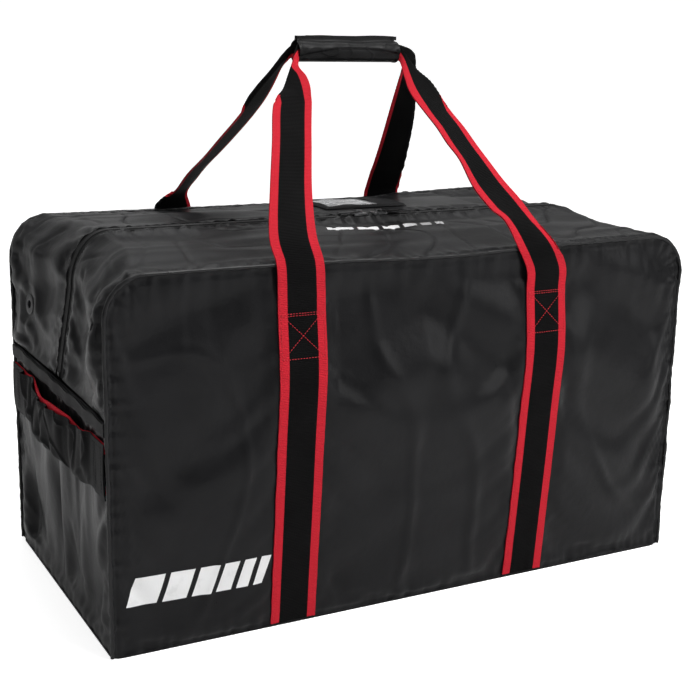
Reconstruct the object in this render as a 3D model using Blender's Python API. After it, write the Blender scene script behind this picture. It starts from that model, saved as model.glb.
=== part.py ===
"""Hockey equipment bag: a soft box of coated fabric with two carry handles.

Frame: metres, +Z up, +X along the bag, -Y is the front.  The origin lies under
the middle of the base, on the surface that the bag stands on.

The body is four kinds of cloth piece.  The front and back panels are upright
sheets with rounded top corners.  The base is a plate.  Each end has a lower
panel with a hem.  Above the hem a gusset runs up one end, over the top and
down the other end, with the zip along its middle.  The top of the gusset is
two lips that fold outwards about the front and back seams.
"""

from math import cos, pi, radians, sin

import bmesh
import bpy
import numpy as np
from mathutils import Matrix, Vector

# Body
LENGTH = 0.806            # between the seams of the two ends
WIDTH = 0.406             # between the front seam and the back seam
EDGE_HEIGHT = 0.447       # top seam of the front and back panels
CROWN_HEIGHT = 0.466      # the zip, along the middle of the top
CORNER = 0.050            # radius of the panels' top corners
BULGE = 0.014             # how far the front and back panels belly out
END_SINK = 0.022          # how far the zip lies in from the ends, at the corner
HEM_SINK = 0.004          # the same, at the hem
CLOTH = 0.0020            # coated fabric, with its lining
BASE_THICK = 0.0025
BASE_CORNER = 0.012
GAP = 0.0003              # between pieces that are sewn together
PIPING = 0.0022           # radius of the piping
SEAM = PIPING + GAP       # what a panel keeps clear of a seam line

# Ends
HEM_TOP = 0.286
HEM_HEIGHT = 0.018
HEM_THICK = 0.0012
SHOULDER = EDGE_HEIGHT - CORNER  # where the corners begin
LIP_START = 50.0          # degrees round the corner, where the lips begin
LIP_GAP = 0.6             # degrees between a lip and the piece below it
HEM_GAP = 0.0005

# Zip
TAPE_OUTER = 0.0137       # half the width of the tape that shows
TAPE_INNER = 0.0038
TAPE_THICK = 0.0010
TAPE_DROP = 0.0004        # tape surface below the cloth's surface
COIL_INNER = 0.00055
COIL_OUTER = 0.0035
COIL_RISE = 0.0006        # coil top above the cloth's surface
COIL_THICK = 0.0026
STOP_SIZE = (0.0060, 0.0065, 0.0030)     # height, width, thickness
STOP_RISE = 0.0012        # above the hem
STOP_ROUND = 0.0006

# Sliders: the two of them close the zip a little right of the middle
SLIDER_X = {"left": 0.016, "right": 0.046}
SLIDER_LENGTH = 0.020
SLIDER_WIDTH = 0.014
PLATE_THICK = 0.0018
PLATE_GAP = 0.0004
FLANGE_INNER = 0.0045
POST_LENGTH = 0.006
POST_HALF = 0.00025
BAIL_LENGTH = 0.009
BAIL_HEIGHT = 0.0040
BAIL_WIDTH = 0.0030
BAIL_WALL = 0.0014
LOWER_PLATE_THICK = 0.0014
LOWER_PLATE_INSET = (0.001, 0.0006)      # in from the upper plate, at its ends and its side
OVERLAP = 0.0002          # what one joined block reaches into the next
PULL_LENGTH = 0.031
PULL_WIDTH = 0.0080
PULL_THICK = 0.0013
PULL_ARM = 0.0070         # from the pivot to where the tab begins
PULL_PIVOT_RISE = 0.0014  # pivot above the slider's top plate
PULL_BAR = 0.0011         # bar through the bail
PULL_ARM_WIDTH = 0.0013
PULL_SIDE_GAP = 0.0004    # between an arm and the bail

# Webbing
WEB_WIDTH = 0.060
WEB_THICK = 0.0018
STRAP_X = 0.170           # middle of each carry strap
STRAP_FOOT = 0.0045
STRAP_TOP = 0.392         # top of the box stitch: the handle is free above it
GRIP_HEIGHT = 0.680       # middle of the hand grip
GRIP_HALF = 0.070         # half the length of the wrap
GRIP_WEB = 0.019          # width of the strap folded inside the wrap
GRIP_SETBACK = 0.0062     # strap's middle from the plane between the handles
CLEAR_HEIGHT = EDGE_HEIGHT + 0.003       # where the free strap has cleared the top seam

# Wrap
WRAP_DEPTH = 0.0150       # half its depth
WRAP_RISE = 0.0140        # half its height
WRAP_THICK = 0.0014
FIN_TOP = 0.7000
FASTENER_THICK = 0.0009
FASTENER_HEIGHT = 0.0055

# End handles
END_WEB_TOP = 0.259
END_FREE = 0.162          # half the length that isn't sewn down
END_BOW = 0.016           # how far the free part stands off the end
END_SEWN_EDGE = 0.197
COVER_HALF = 0.100
COVER_TOP = END_WEB_TOP - 0.0105
COVER_THICK = 0.0011

# Eyelets
EYELET_Y = 0.140          # in the back half of each end
EYELET_Z = 0.350
EYELET_OUTER = 0.0135
EYELET_BORE = 0.0052
EYELET_BARREL = 0.0064
EYELET_HOLE = 0.0070
EYELET_FLANGE = 0.0013    # thickness of its flange
EYELET_RIM = 0.0004       # height of the flange's rim
EYELET_LIFT = 0.00042     # flange above the cloth
EYELET_DEPTH = 0.0052     # how far the barrel goes in
WASHER_LIFT = 0.00048     # washer behind the cloth
WASHER_DEPTH = 0.0015

# Name card pocket on the back lip
POCKET_X = (-0.004, 0.122)
POCKET_Y = (0.056, 0.168)
WINDOW_X = (0.008, 0.084)
WINDOW_Y = (0.070, 0.154)
POCKET_RISE = 0.0034      # top of the pocket's frame above the lip
POCKET_THICK = 0.0026
SLOT_RISE = 0.0022        # top of the card's slot above the lip
SLOT_THICK = 0.0013
SLOT_MARGIN = 0.008       # between the slot and the pocket's outer edge
SHEET_THICK = 0.0005      # window and card
WINDOW_GAP = 0.0004
WINDOW_DROP = 0.0003      # window below the frame's top
CARD_RISE = 0.0018        # card above the lip
CARD_GAP = 0.001
CARD_INSET = 0.004        # card's end inside the pocket's open edge

BLACK_CLOTH = ("coated_fabric", (0.018, 0.018, 0.020), 0.42, 0.0)
BLACK_WEB = ("webbing", (0.012, 0.012, 0.012), 0.78, 0.0)
BLACK_TRIM = ("trim", (0.014, 0.014, 0.015), 0.55, 0.0)
ZIP_BLACK = ("zip", (0.010, 0.010, 0.010), 0.62, 0.0)
SLIDER_METAL = ("slider_metal", (0.30, 0.30, 0.31), 0.30, 1.0)
EYELET_BLACK = ("eyelet", (0.015, 0.015, 0.016), 0.35, 0.0)
CLEAR_SHEET = ("window", (0.80, 0.82, 0.84), 0.08, 0.0)
CARD_GREY = ("card", (0.42, 0.43, 0.44), 0.70, 0.0)


def clear_scene():
    """Remove whatever the scene holds."""
    for thing in list(bpy.data.objects):
        bpy.data.objects.remove(thing, do_unlink=True)


def finish(obj, spec):
    """Give an object its material; equal specs share one material."""
    name, colour, roughness, metallic = spec
    material = bpy.data.materials.get(name)
    if material is None:
        material = bpy.data.materials.new(name)
        material.use_nodes = True
        shader = material.node_tree.nodes["Principled BSDF"]
        shader.inputs["Base Color"].default_value = (*colour, 1.0)
        shader.inputs["Roughness"].default_value = roughness
        shader.inputs["Metallic"].default_value = metallic
        material.diffuse_color = (*colour, 1.0)
    obj.data.materials.append(material)
    return obj


def new_object(name, mesh_data, spec, location=(0.0, 0.0, 0.0), turn=0.0):
    """Link an object at a place, turned about Z, and give it its material."""
    obj = bpy.data.objects.new(name, mesh_data)
    bpy.context.scene.collection.objects.link(obj)
    obj.location = location
    obj.rotation_euler = (0.0, 0.0, turn)
    if not obj.data.materials:
        finish(obj, spec)
    return obj


def mesh_from(bm, name, smooth=False):
    """Turn a bmesh into a mesh whose faces all point outwards."""
    bmesh.ops.recalc_face_normals(bm, faces=bm.faces)
    if bm.calc_volume(signed=True) < 0.0:
        bmesh.ops.reverse_faces(bm, faces=bm.faces)
    mesh = bpy.data.meshes.new(name)
    bm.to_mesh(mesh)
    bm.free()
    if smooth:
        mesh.shade_smooth()
        mesh.set_sharp_from_angle(angle=radians(40.0))
    return mesh


def about_pivot(points, pivot):
    """Shift points so that the pivot is the origin."""
    return np.asarray(points) - np.asarray(pivot)


def sheet(name, points, thickness, spec, pivot=(0.0, 0.0, 0.0), outward=None, turn=0.0):
    """Make a sheet of even thickness behind a grid of points.

    points is an array (rows, columns, 3) on the sheet's outer face.  outward
    is a direction that the outer face looks along.  The object's origin is the
    pivot.
    """
    grid = about_pivot(points, pivot)
    rows, columns = grid.shape[:2]
    bm = bmesh.new()
    verts = [[bm.verts.new(p) for p in row] for row in grid]
    for i in range(rows - 1):
        for j in range(columns - 1):
            bm.faces.new((verts[i][j], verts[i][j + 1], verts[i + 1][j + 1], verts[i + 1][j]))
    bm.normal_update()
    total = sum((face.normal * face.calc_area() for face in bm.faces), Vector())
    if total.dot(Vector(outward)) < 0.0:
        bmesh.ops.reverse_faces(bm, faces=bm.faces)
    mesh = bpy.data.meshes.new(name)
    bm.to_mesh(mesh)
    bm.free()
    mesh.shade_smooth()
    obj = new_object(name, mesh, spec, location=spun(pivot, turn), turn=turn)
    solidify = obj.modifiers.new("thickness", "SOLIDIFY")
    solidify.thickness = thickness
    solidify.offset = -1.0
    solidify.use_even_offset = True
    return obj


def with_tool(obj, tool, label, operation="DIFFERENCE"):
    """Cut a tool out of an object, or join it to the object, and hide the tool."""
    tool.hide_render = True
    tool.display_type = "WIRE"
    boolean = obj.modifiers.new(label, "BOOLEAN")
    boolean.object = tool
    boolean.operation = operation


def with_box(obj, low, high, label, operation="DIFFERENCE"):
    """Cut or join a box whose corners are given from the object's own place."""
    bm = bmesh.new()
    box_into(bm, low, high)
    tool = new_object(f"tool_{label}", mesh_from(bm, label), BLACK_TRIM, location=obj.location)
    with_tool(obj, tool, label, operation)


def spun(point, turn):
    """Turn a point about the Z axis."""
    return Matrix.Rotation(turn, 3, "Z") @ Vector(point)


def box_into(bm, low, high):
    """Add a closed box between two corners."""
    size = [b - a for a, b in zip(low, high)]
    middle = [(a + b) / 2.0 for a, b in zip(low, high)]
    place = Matrix.Translation(middle) @ Matrix.Diagonal((*size, 1.0))
    bmesh.ops.create_cube(bm, size=1.0, matrix=place)


def extruded(name, outline, axis, low, high, spec, pivot=(0.0, 0.0, 0.0), turn=0.0):
    """Extrude a closed outline, given as 3-D points, along X, Y or Z."""
    along = {"X": 0, "Y": 1, "Z": 2}[axis]
    points = np.array(outline, dtype=float)
    points[:, along] = low
    bm = bmesh.new()
    face = bm.faces.new([bm.verts.new(p) for p in about_pivot(points, pivot)])
    moved = bmesh.ops.extrude_face_region(bm, geom=[face])["geom"]
    shift = Vector((0.0, 0.0, 0.0))
    shift[along] = high - low
    bmesh.ops.translate(bm, vec=shift, verts=[g for g in moved if isinstance(g, bmesh.types.BMVert)])
    return new_object(name, mesh_from(bm, name), spec, location=spun(pivot, turn), turn=turn)


def turned(name, profile, spec, steps=32):
    """Spin a closed profile of (radius, height) points about Z."""
    bm = bmesh.new()
    verts = [bm.verts.new((r, 0.0, h)) for r, h in profile]
    edges = [bm.edges.new((verts[i], verts[(i + 1) % len(verts)])) for i in range(len(verts))]
    bmesh.ops.spin(bm, geom=verts + edges, cent=(0, 0, 0), axis=(0, 0, 1), angle=2.0 * pi,
                   steps=steps, use_merge=True)
    bmesh.ops.remove_doubles(bm, verts=bm.verts, dist=1e-6)
    return new_object(name, mesh_from(bm, name, smooth=True), spec)


def spline(points, per_span):
    """Sample a smooth curve (Catmull-Rom) through the points."""
    knots = np.asarray(points, dtype=float)
    ends = np.vstack([2 * knots[0] - knots[1], knots, 2 * knots[-1] - knots[-2]])
    samples = []
    for a, b, c, d in zip(ends, ends[1:], ends[2:], ends[3:]):
        for t in np.arange(per_span) / per_span:
            samples.append(0.5 * (2 * b + (c - a) * t + (2 * a - 5 * b + 4 * c - d) * t * t
                                  + (3 * b - a - 3 * c + d) * t ** 3))
    samples.append(knots[-1])
    return np.array(samples)


# The body's surfaces

def belly(x, z):
    """How far the front panel stands out of its plane at a point."""
    across = 1.0 - (2.0 * x / LENGTH) ** 2
    upward = np.sin(pi * np.clip(z / EDGE_HEIGHT, 0.0, 1.0) ** 1.3)
    return BULGE * across * upward


def panel_top(x, inset):
    """Height of a panel's upper edge, inside the seam line by the inset."""
    past = np.abs(x) - (LENGTH / 2 - CORNER)
    rise = np.sqrt(np.maximum((CORNER - inset) ** 2 - np.maximum(past, 0.0) ** 2, 0.0))
    return SHOULDER + rise


def panel_columns():
    """X of the panel's columns: even along the top, by angle round the corners."""
    flat = np.linspace(-(LENGTH / 2 - CORNER), LENGTH / 2 - CORNER, 15)
    arc = LENGTH / 2 - CORNER + (CORNER - SEAM) * np.sin(np.radians([18, 36, 54, 70, 82, 90]))
    return np.concatenate([-arc[::-1], flat, arc])


def make_panels():
    """The front panel, and the back panel turned half round."""
    columns = panel_columns()
    low = BASE_THICK + GAP
    rows = np.linspace(0.0, 1.0, 14)
    top = panel_top(columns, SEAM)
    x = np.repeat(columns[:, None], len(rows), axis=1)
    z = low + (top[:, None] - low) * rows[None, :]
    points = np.stack([x, -(WIDTH / 2 + belly(x, z)), z], axis=2)
    for name, turn in (("front_panel", 0.0), ("back_panel", pi)):
        sheet(name, points, CLOTH, BLACK_CLOTH, outward=(0, -1, 0), turn=turn)


def make_base():
    """The base: a plate with rounded corners, flat underneath."""
    outline = []
    for corner in range(4):
        sx = 1 if corner in (0, 3) else -1
        sy = 1 if corner in (0, 1) else -1
        for step in range(5):
            angle = (corner + step / 4.0) * pi / 2.0
            outline.append((sx * (LENGTH / 2 - BASE_CORNER) + BASE_CORNER * cos(angle),
                            sy * (WIDTH / 2 - BASE_CORNER) + BASE_CORNER * sin(angle), 0.0))
    extruded("base_panel", outline, "Z", 0.0, BASE_THICK, BLACK_CLOTH)


def gusset_line(half_low, half_high, rise):
    """A line up one end, over the top and down the other, seen from the front.

    Each side goes from (half_low, above the hem) to (half_high, SHOULDER).
    The corner is a quarter ellipse, CORNER by rise, and the top is straight.
    "side" is the part that stays, up to LIP_START round the corner, and "lip"
    is the rest.
    """
    steps = np.linspace(0.0, 1.0, 6)[:-1]
    low = HEM_TOP + HEM_GAP
    side = np.stack([half_low + (half_high - half_low) * steps,
                     low + (SHOULDER - low) * steps], axis=1)

    def corner(start, end, count):
        angles = np.radians(np.linspace(start, end, count))
        return np.stack([half_high - CORNER + CORNER * np.cos(angles),
                         SHOULDER + rise * np.sin(angles)], axis=1)

    top_half = half_high - CORNER
    top = np.stack([np.linspace(top_half, -top_half, 19), np.full(19, SHOULDER + rise)], axis=1)
    above = corner(LIP_START, 90.0, 5)
    mirror = np.array([-1.0, 1.0])
    return {"side": np.vstack([side, corner(0.0, LIP_START - LIP_GAP, 5)]),
            "lip": np.vstack([above, top[1:-1], above[::-1] * mirror]),
            "corner": corner(0.0, 90.0, 9)}


SEAM_LINE = gusset_line(LENGTH / 2, LENGTH / 2, CORNER)
ZIP_LINE = gusset_line(LENGTH / 2 - HEM_SINK, LENGTH / 2 - END_SINK, CROWN_HEIGHT - SHOULDER)


def gusset_grid(part, columns, rise=0.0):
    """Points of the gusset for the given Y columns, lifted off it by rise.

    Between the seam and the zip the surface follows a parabola, so it is level
    along the zip and slopes down to the seam.
    """
    seam, middle = SEAM_LINE[part], ZIP_LINE[part]
    tangent = np.gradient(middle, axis=0)
    normal = np.stack([tangent[:, 1], -tangent[:, 0]], axis=1)
    normal /= np.linalg.norm(normal, axis=1)[:, None]
    weight = 1.0 - (np.asarray(columns) / (WIDTH / 2)) ** 2
    flat = seam[:, None, :] + (middle - seam)[:, None, :] * weight[None, :, None]
    flat = flat + rise * normal[:, None, :]
    y = np.broadcast_to(np.asarray(columns, dtype=float), flat.shape[:2])
    return np.stack([flat[:, :, 0], y, flat[:, :, 1]], axis=2)


# Fold lines of the two lips
FRONT_AXIS = (0.0, -WIDTH / 2, EDGE_HEIGHT)
BACK_AXIS = (0.0, WIDTH / 2, EDGE_HEIGHT)


def make_gusset():
    """Two lips over the top, and four pieces that stay, on the ends."""
    columns = -np.linspace(WIDTH / 2 - SEAM, TAPE_OUTER + GAP, 8)
    for side, turn in (("front", 0.0), ("back", pi)):
        sheet(f"lip_{side}", gusset_grid("lip", columns), CLOTH, BLACK_CLOTH,
              pivot=FRONT_AXIS, outward=(0, 0, 1), turn=turn)
    for side, sign in (("left", -1.0), ("right", 1.0)):
        for face, away in (("front", -1.0), ("back", 1.0)):
            points = gusset_grid("side", -away * columns)
            points[:, :, 0] *= sign
            piece = sheet(f"gusset_{side}_{face}", points, CLOTH, BLACK_CLOTH,
                          outward=(sign, 0, 0))
            if face == "back":
                pierce(piece, side, sign)


def eyelet_place(sign):
    """Where an eyelet sits on its end, and the way it faces."""
    step = 0.005
    grid = gusset_grid("side", [EYELET_Y - step, EYELET_Y, EYELET_Y + step])
    grid[:, :, 0] *= sign

    def at(column, height):
        return Vector([np.interp(height, grid[:, column, 2], grid[:, column, k]) for k in range(3)])

    middle = at(1, EYELET_Z)
    up = at(1, EYELET_Z + step) - at(1, EYELET_Z - step)
    normal = up.cross(at(2, EYELET_Z) - at(0, EYELET_Z)).normalized()
    if normal.x * sign < 0.0:
        normal.negate()
    return middle, normal


def pierce(piece, side, sign):
    """Cut the eyelet's hole through a gusset piece."""
    middle, normal = eyelet_place(sign)
    bm = bmesh.new()
    bmesh.ops.create_cone(bm, cap_ends=True, segments=32, radius1=EYELET_HOLE,
                          radius2=EYELET_HOLE, depth=0.03)
    cutter = new_object(f"cut_eyelet_{side}", mesh_from(bm, "cut"), BLACK_TRIM)
    cutter.rotation_mode = "QUATERNION"
    cutter.rotation_quaternion = normal.to_track_quat("Z", "Y")
    cutter.location = middle
    with_tool(piece, cutter, "eyelet_hole")


def make_eyelets():
    """A flanged eyelet through each end, and the washer it is closed on."""
    flange = [(EYELET_BORE, EYELET_FLANGE * 0.7), (EYELET_BORE + 0.001, EYELET_FLANGE),
              (EYELET_OUTER - 0.003, EYELET_FLANGE), (EYELET_OUTER, EYELET_LIFT + EYELET_RIM),
              (EYELET_OUTER, EYELET_LIFT), (EYELET_BARREL, EYELET_LIFT),
              (EYELET_BARREL, -EYELET_DEPTH), (EYELET_BORE, -EYELET_DEPTH)]
    near, far = -CLOTH - WASHER_LIFT, -CLOTH - WASHER_DEPTH
    washer = [(EYELET_BARREL + GAP, near), (EYELET_OUTER - 0.001, near),
              (EYELET_OUTER - 0.001, far), (EYELET_BARREL + GAP, far)]
    for side, sign in (("left", -1.0), ("right", 1.0)):
        middle, normal = eyelet_place(sign)
        for name, profile in ((f"eyelet_{side}", flange), (f"eyelet_washer_{side}", washer)):
            ring = turned(name, profile, EYELET_BLACK)
            ring.rotation_mode = "QUATERNION"
            ring.rotation_quaternion = normal.to_track_quat("Z", "Y")
            ring.location = middle


def make_ends():
    """Each end's lower panel and the hem across its top."""
    low = BASE_THICK + GAP
    half = WIDTH / 2 - SEAM
    for side, sign in (("left", -1.0), ("right", 1.0)):
        y, z = np.meshgrid(np.linspace(-half, half, 9), np.linspace(low, HEM_TOP, 9), indexing="ij")
        points = np.stack([np.full_like(y, sign * LENGTH / 2), y, z], axis=2)
        sheet(f"end_panel_{side}", points, CLOTH, BLACK_CLOTH, outward=(sign, 0, 0))
        y, z = np.meshgrid(np.linspace(-half, half, 9), [HEM_TOP - HEM_HEIGHT, HEM_TOP], indexing="ij")
        face = sign * (LENGTH / 2 + GAP + HEM_THICK)
        points = np.stack([np.full_like(y, face), y, z], axis=2)
        sheet(f"end_hem_{side}", points, HEM_THICK, BLACK_TRIM, outward=(sign, 0, 0))


def make_piping():
    """Piping up one side of a panel, round its corners and down the other."""
    start = np.array([[LENGTH / 2, BASE_THICK + GAP]])
    side = np.linspace(0.0, 1.0, 9)[:-1, None]
    upright = start + (np.array([[LENGTH / 2, SHOULDER]]) - start) * side
    half = np.vstack([upright, SEAM_LINE["corner"]])
    route = np.vstack([half, (half * np.array([-1.0, 1.0]))[::-1]])
    for face, y in (("front", -WIDTH / 2), ("back", WIDTH / 2)):
        curve = bpy.data.curves.new(f"piping_{face}", "CURVE")
        curve.dimensions = "3D"
        curve.bevel_depth = PIPING
        curve.bevel_resolution = 2
        curve.use_fill_caps = True
        line = curve.splines.new("POLY")
        line.points.add(len(route) - 1)
        for point, (x, z) in zip(line.points, route):
            point.co = (x, y, z, 1.0)
        new_object(f"piping_{face}", curve, BLACK_TRIM)


# The zip

def make_zip():
    """Tape and coil on each lip, and the closed zip that goes on down the ends."""
    tape = -np.array([TAPE_OUTER, TAPE_INNER])
    coil = -np.array([COIL_OUTER, COIL_INNER])
    for side, turn in (("front", 0.0), ("back", pi)):
        sheet(f"zip_tape_{side}", gusset_grid("lip", tape, -TAPE_DROP), TAPE_THICK, ZIP_BLACK,
              pivot=FRONT_AXIS, outward=(0, 0, 1), turn=turn)
        sheet(f"zip_coil_{side}", gusset_grid("lip", coil, COIL_RISE), COIL_THICK, ZIP_BLACK,
              pivot=FRONT_AXIS, outward=(0, 0, 1), turn=turn)
    for side, sign in (("left", -1.0), ("right", 1.0)):
        for face, away in (("front", 1.0), ("back", -1.0)):
            points = gusset_grid("side", away * tape, -TAPE_DROP)
            points[:, :, 0] *= sign
            sheet(f"zip_end_tape_{side}_{face}", points, TAPE_THICK, ZIP_BLACK, outward=(sign, 0, 0))
        points = gusset_grid("side", [-COIL_OUTER, COIL_OUTER], COIL_RISE)[1:]
        points[:, :, 0] *= sign
        sheet(f"zip_end_coil_{side}", points, COIL_THICK, ZIP_BLACK, outward=(sign, 0, 0))
        make_stop(side, sign)


def make_stop(side, sign):
    """The moulded stop that ends the zip just above the hem."""
    height, width, thick = STOP_SIZE
    low = HEM_TOP + STOP_RISE
    face = LENGTH / 2 - HEM_SINK + COIL_RISE
    name = f"zip_stop_{side}"
    bm = bmesh.new()
    box_into(bm, (sign * (face - thick), -width / 2, low), (sign * face, width / 2, low + height))
    stop = new_object(name, mesh_from(bm, name), ZIP_BLACK)
    add_bevel(stop, STOP_ROUND)


def add_bevel(obj, width, segments=2):
    """Round an object's edges."""
    bevel = obj.modifiers.new("edge", "BEVEL")
    bevel.width = width
    bevel.segments = segments
    bevel.limit_method = "ANGLE"


def make_sliders():
    """Two sliders on the straight top of the zip, each with its pull.

    A slider's plate spans both coils.  Its post goes down between them to a
    lower plate, which is under the front coil only, as its flange is, so that
    the back lip can part from it.
    """
    coil_top = CROWN_HEIGHT + COIL_RISE
    plate_low = coil_top + PLATE_GAP
    plate_top = plate_low + PLATE_THICK
    coil_low = coil_top - COIL_THICK
    lower_top = coil_low - PLATE_GAP
    half, side_y = SLIDER_LENGTH / 2, SLIDER_WIDTH / 2
    for side, way in (("left", -1.0), ("right", 1.0)):
        x = SLIDER_X[side]
        bm = bmesh.new()
        box_into(bm, (-half, -side_y, plate_low), (half, side_y, plate_top))
        slider = new_object(f"slider_{side}", mesh_from(bm, f"slider_{side}"), SLIDER_METAL,
                            location=(x, 0.0, 0.0))
        flange = ((-half, -side_y, CROWN_HEIGHT), (half, -FLANGE_INNER, plate_low + OVERLAP))
        post = ((-POST_LENGTH / 2, -POST_HALF, lower_top - OVERLAP),
                (POST_LENGTH / 2, POST_HALF, plate_low + OVERLAP))
        in_x, in_y = LOWER_PLATE_INSET
        lower = ((-half + in_x, -side_y + in_y, lower_top - LOWER_PLATE_THICK),
                 (half - in_x, POST_HALF, lower_top))
        bail_top = plate_top + BAIL_HEIGHT
        bail = ((-BAIL_LENGTH / 2, -BAIL_WIDTH / 2, plate_top - OVERLAP),
                (BAIL_LENGTH / 2, BAIL_WIDTH / 2, bail_top))
        for label, (low, high) in (("flange", flange), ("post", post), ("lower", lower), ("bail", bail)):
            with_box(slider, low, high, f"slider_{side}_{label}", "UNION")
        with_box(slider, (-BAIL_LENGTH / 2 + BAIL_WALL, -BAIL_WIDTH, plate_top),
                 (BAIL_LENGTH / 2 - BAIL_WALL, BAIL_WIDTH, bail_top - BAIL_WALL), f"slider_{side}_eye")
        make_pull(side, way, x, plate_top + PULL_PIVOT_RISE)


def make_pull(side, way, x, pivot_z):
    """A pull tab: a bar through the bail, two arms and a flat tab."""
    half = PULL_THICK / 2
    arm_in = BAIL_WIDTH / 2 + PULL_SIDE_GAP
    arm_out = arm_in + PULL_ARM_WIDTH
    name = f"pull_{side}"
    bm = bmesh.new()
    box_into(bm, (-PULL_BAR / 2, -arm_out, -half), (PULL_BAR / 2, arm_out, half))
    pull = new_object(name, mesh_from(bm, name), BLACK_TRIM, location=(x, 0.0, pivot_z))
    start, end = sorted((-way * PULL_BAR / 2, way * (PULL_ARM + OVERLAP)))
    for label, y0, y1 in (("arm_a", -arm_out, -arm_in), ("arm_b", arm_in, arm_out)):
        with_box(pull, (start, y0, -half), (end, y1, half), f"{name}_{label}", "UNION")
    start, end = sorted((way * PULL_ARM, way * PULL_LENGTH))
    with_box(pull, (start, -PULL_WIDTH / 2, -half), (end, PULL_WIDTH / 2, half), f"{name}_tab", "UNION")


# Webbing and carry handles

def strap_face(x, z):
    """Y of the outer face of webbing that lies on the front panel."""
    return -(WIDTH / 2 + belly(x, z) + GAP + WEB_THICK)


def make_strap_runs():
    """The carry straps where they are sewn to the front and back panels."""
    offsets = np.array([-0.5, 0.0, 0.5]) * WEB_WIDTH
    for side, centre in (("left", -STRAP_X), ("right", STRAP_X)):
        x, z = np.meshgrid(centre + offsets, np.linspace(STRAP_FOOT, STRAP_TOP, 15), indexing="ij")
        points = np.stack([x, strap_face(x, z), z], axis=2)
        for face, turn in (("front", 0.0), ("back", pi)):
            across = side if face == "front" else {"left": "right", "right": "left"}[side]
            sheet(f"strap_{face}_{across}", points, WEB_THICK, BLACK_WEB, outward=(0, -1, 0), turn=turn)


def handle_edges():
    """Outer and inner edge of the free webbing, from one leg to the other.

    Each edge rises flat against the panel, bends in over the top seam, leans
    in to the grip, and turns level inside the wrap.
    """
    half = WEB_WIDTH / 2
    start = STRAP_TOP + GAP
    clear = -(WIDTH / 2 + PIPING + WEB_THICK + 2 * GAP)
    grip = -(GRIP_SETBACK - WEB_THICK / 2) - WEB_THICK
    top = GRIP_HEIGHT + GRIP_WEB / 2
    bottom = GRIP_HEIGHT - GRIP_WEB / 2
    outer_x = -STRAP_X - half
    inner_x = -STRAP_X + half
    face = float(strap_face(STRAP_X, start))
    between, between_z = (face + clear) / 2 - 0.0006, start + 0.028
    outer = [(outer_x, face, start), (outer_x, between, between_z),
             (outer_x, clear, CLEAR_HEIGHT), (outer_x + 0.010, -0.188, 0.478),
             (outer_x + 0.050, -0.090, 0.585), (-0.114, -0.027, 0.658),
             (-0.099, -0.0135, 0.680), (-GRIP_HALF - 0.012, grip, top - 0.0005),
             (-GRIP_HALF + 0.006, grip, top)]
    inner = [(inner_x, face, start), (inner_x, between, between_z),
             (inner_x, clear, CLEAR_HEIGHT), (inner_x + 0.008, -0.188, 0.478),
             (inner_x + 0.033, -0.096, 0.579), (-0.092, -0.038, 0.641),
             (-0.086, -0.0170, 0.661), (-GRIP_HALF - 0.006, grip, bottom + 0.0002),
             (-GRIP_HALF + 0.006, grip, bottom)]
    edges = []
    for edge in (outer, inner):
        left = np.array(edge)
        right = left[::-1] * np.array([-1.0, 1.0, 1.0])
        edges.append(spline(np.vstack([left, right]), 4))
    return edges


HANDLE_AXIS = (0.0, float(strap_face(STRAP_X - WEB_WIDTH / 2, STRAP_TOP)) - 0.0002, STRAP_TOP)


def make_handles():
    """The free loop of each carry handle."""
    outer, inner = handle_edges()
    steps = np.linspace(0.0, 1.0, 4)[None, :, None]
    points = outer[:, None, :] + (inner - outer)[:, None, :] * steps
    for face, turn in (("front", 0.0), ("back", pi)):
        sheet(f"handle_{face}", points, WEB_THICK, BLACK_WEB, pivot=HANDLE_AXIS,
              outward=(0, -1, 0.3), turn=turn)


def wrap_outline():
    """Section of the wrap's front leaf: half an oval with an upright fin."""
    angles = np.radians(np.linspace(-90.0, 62.0, 14))
    centre = GRIP_HEIGHT - 0.0005
    inner_y = FASTENER_THICK + 2 * GAP
    outer = [(-WRAP_DEPTH * cos(a), centre + WRAP_RISE * sin(a)) for a in angles]
    inner = [(-(WRAP_DEPTH - WRAP_THICK) * cos(a), centre + (WRAP_RISE - WRAP_THICK) * sin(a))
             for a in angles]
    shoulder = centre + WRAP_RISE
    fin = [(-inner_y - WRAP_THICK, shoulder + 0.0006), (-inner_y - WRAP_THICK, FIN_TOP),
           (-inner_y, FIN_TOP), (-inner_y, shoulder - WRAP_THICK)]
    outer[0] = (-GAP / 2, outer[0][1])
    inner[0] = (-GAP / 2, inner[0][1])
    return [(0.0, y, z) for y, z in outer + fin + inner[::-1]]


def make_wrap():
    """The hand grip's wrap in two leaves, closed by hook and loop in its fin."""
    strip_low = FIN_TOP - FASTENER_HEIGHT
    strip = [(0.0, -GAP / 2 - FASTENER_THICK, strip_low), (0.0, -GAP / 2, strip_low),
             (0.0, -GAP / 2, FIN_TOP - 0.0005), (0.0, -GAP / 2 - FASTENER_THICK, FIN_TOP - 0.0005)]
    for face, turn, tape in (("front", 0.0, "wrap_hook_tape"), ("back", pi, "wrap_loop_tape")):
        extruded(f"wrap_{face}", wrap_outline(), "X", -GRIP_HALF, GRIP_HALF, BLACK_CLOTH,
                 pivot=HANDLE_AXIS, turn=turn)
        extruded(tape, strip, "X", -GRIP_HALF + 0.004, GRIP_HALF - 0.004, BLACK_TRIM,
                 pivot=HANDLE_AXIS, turn=turn)


# End handles

def bow(y):
    """How far the end handle stands off the end at a place along it."""
    reach = np.clip(np.abs(y) / (END_FREE - 0.004), 0.0, 1.0)
    return END_BOW * np.cos(pi / 2 * reach) ** 2


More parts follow.
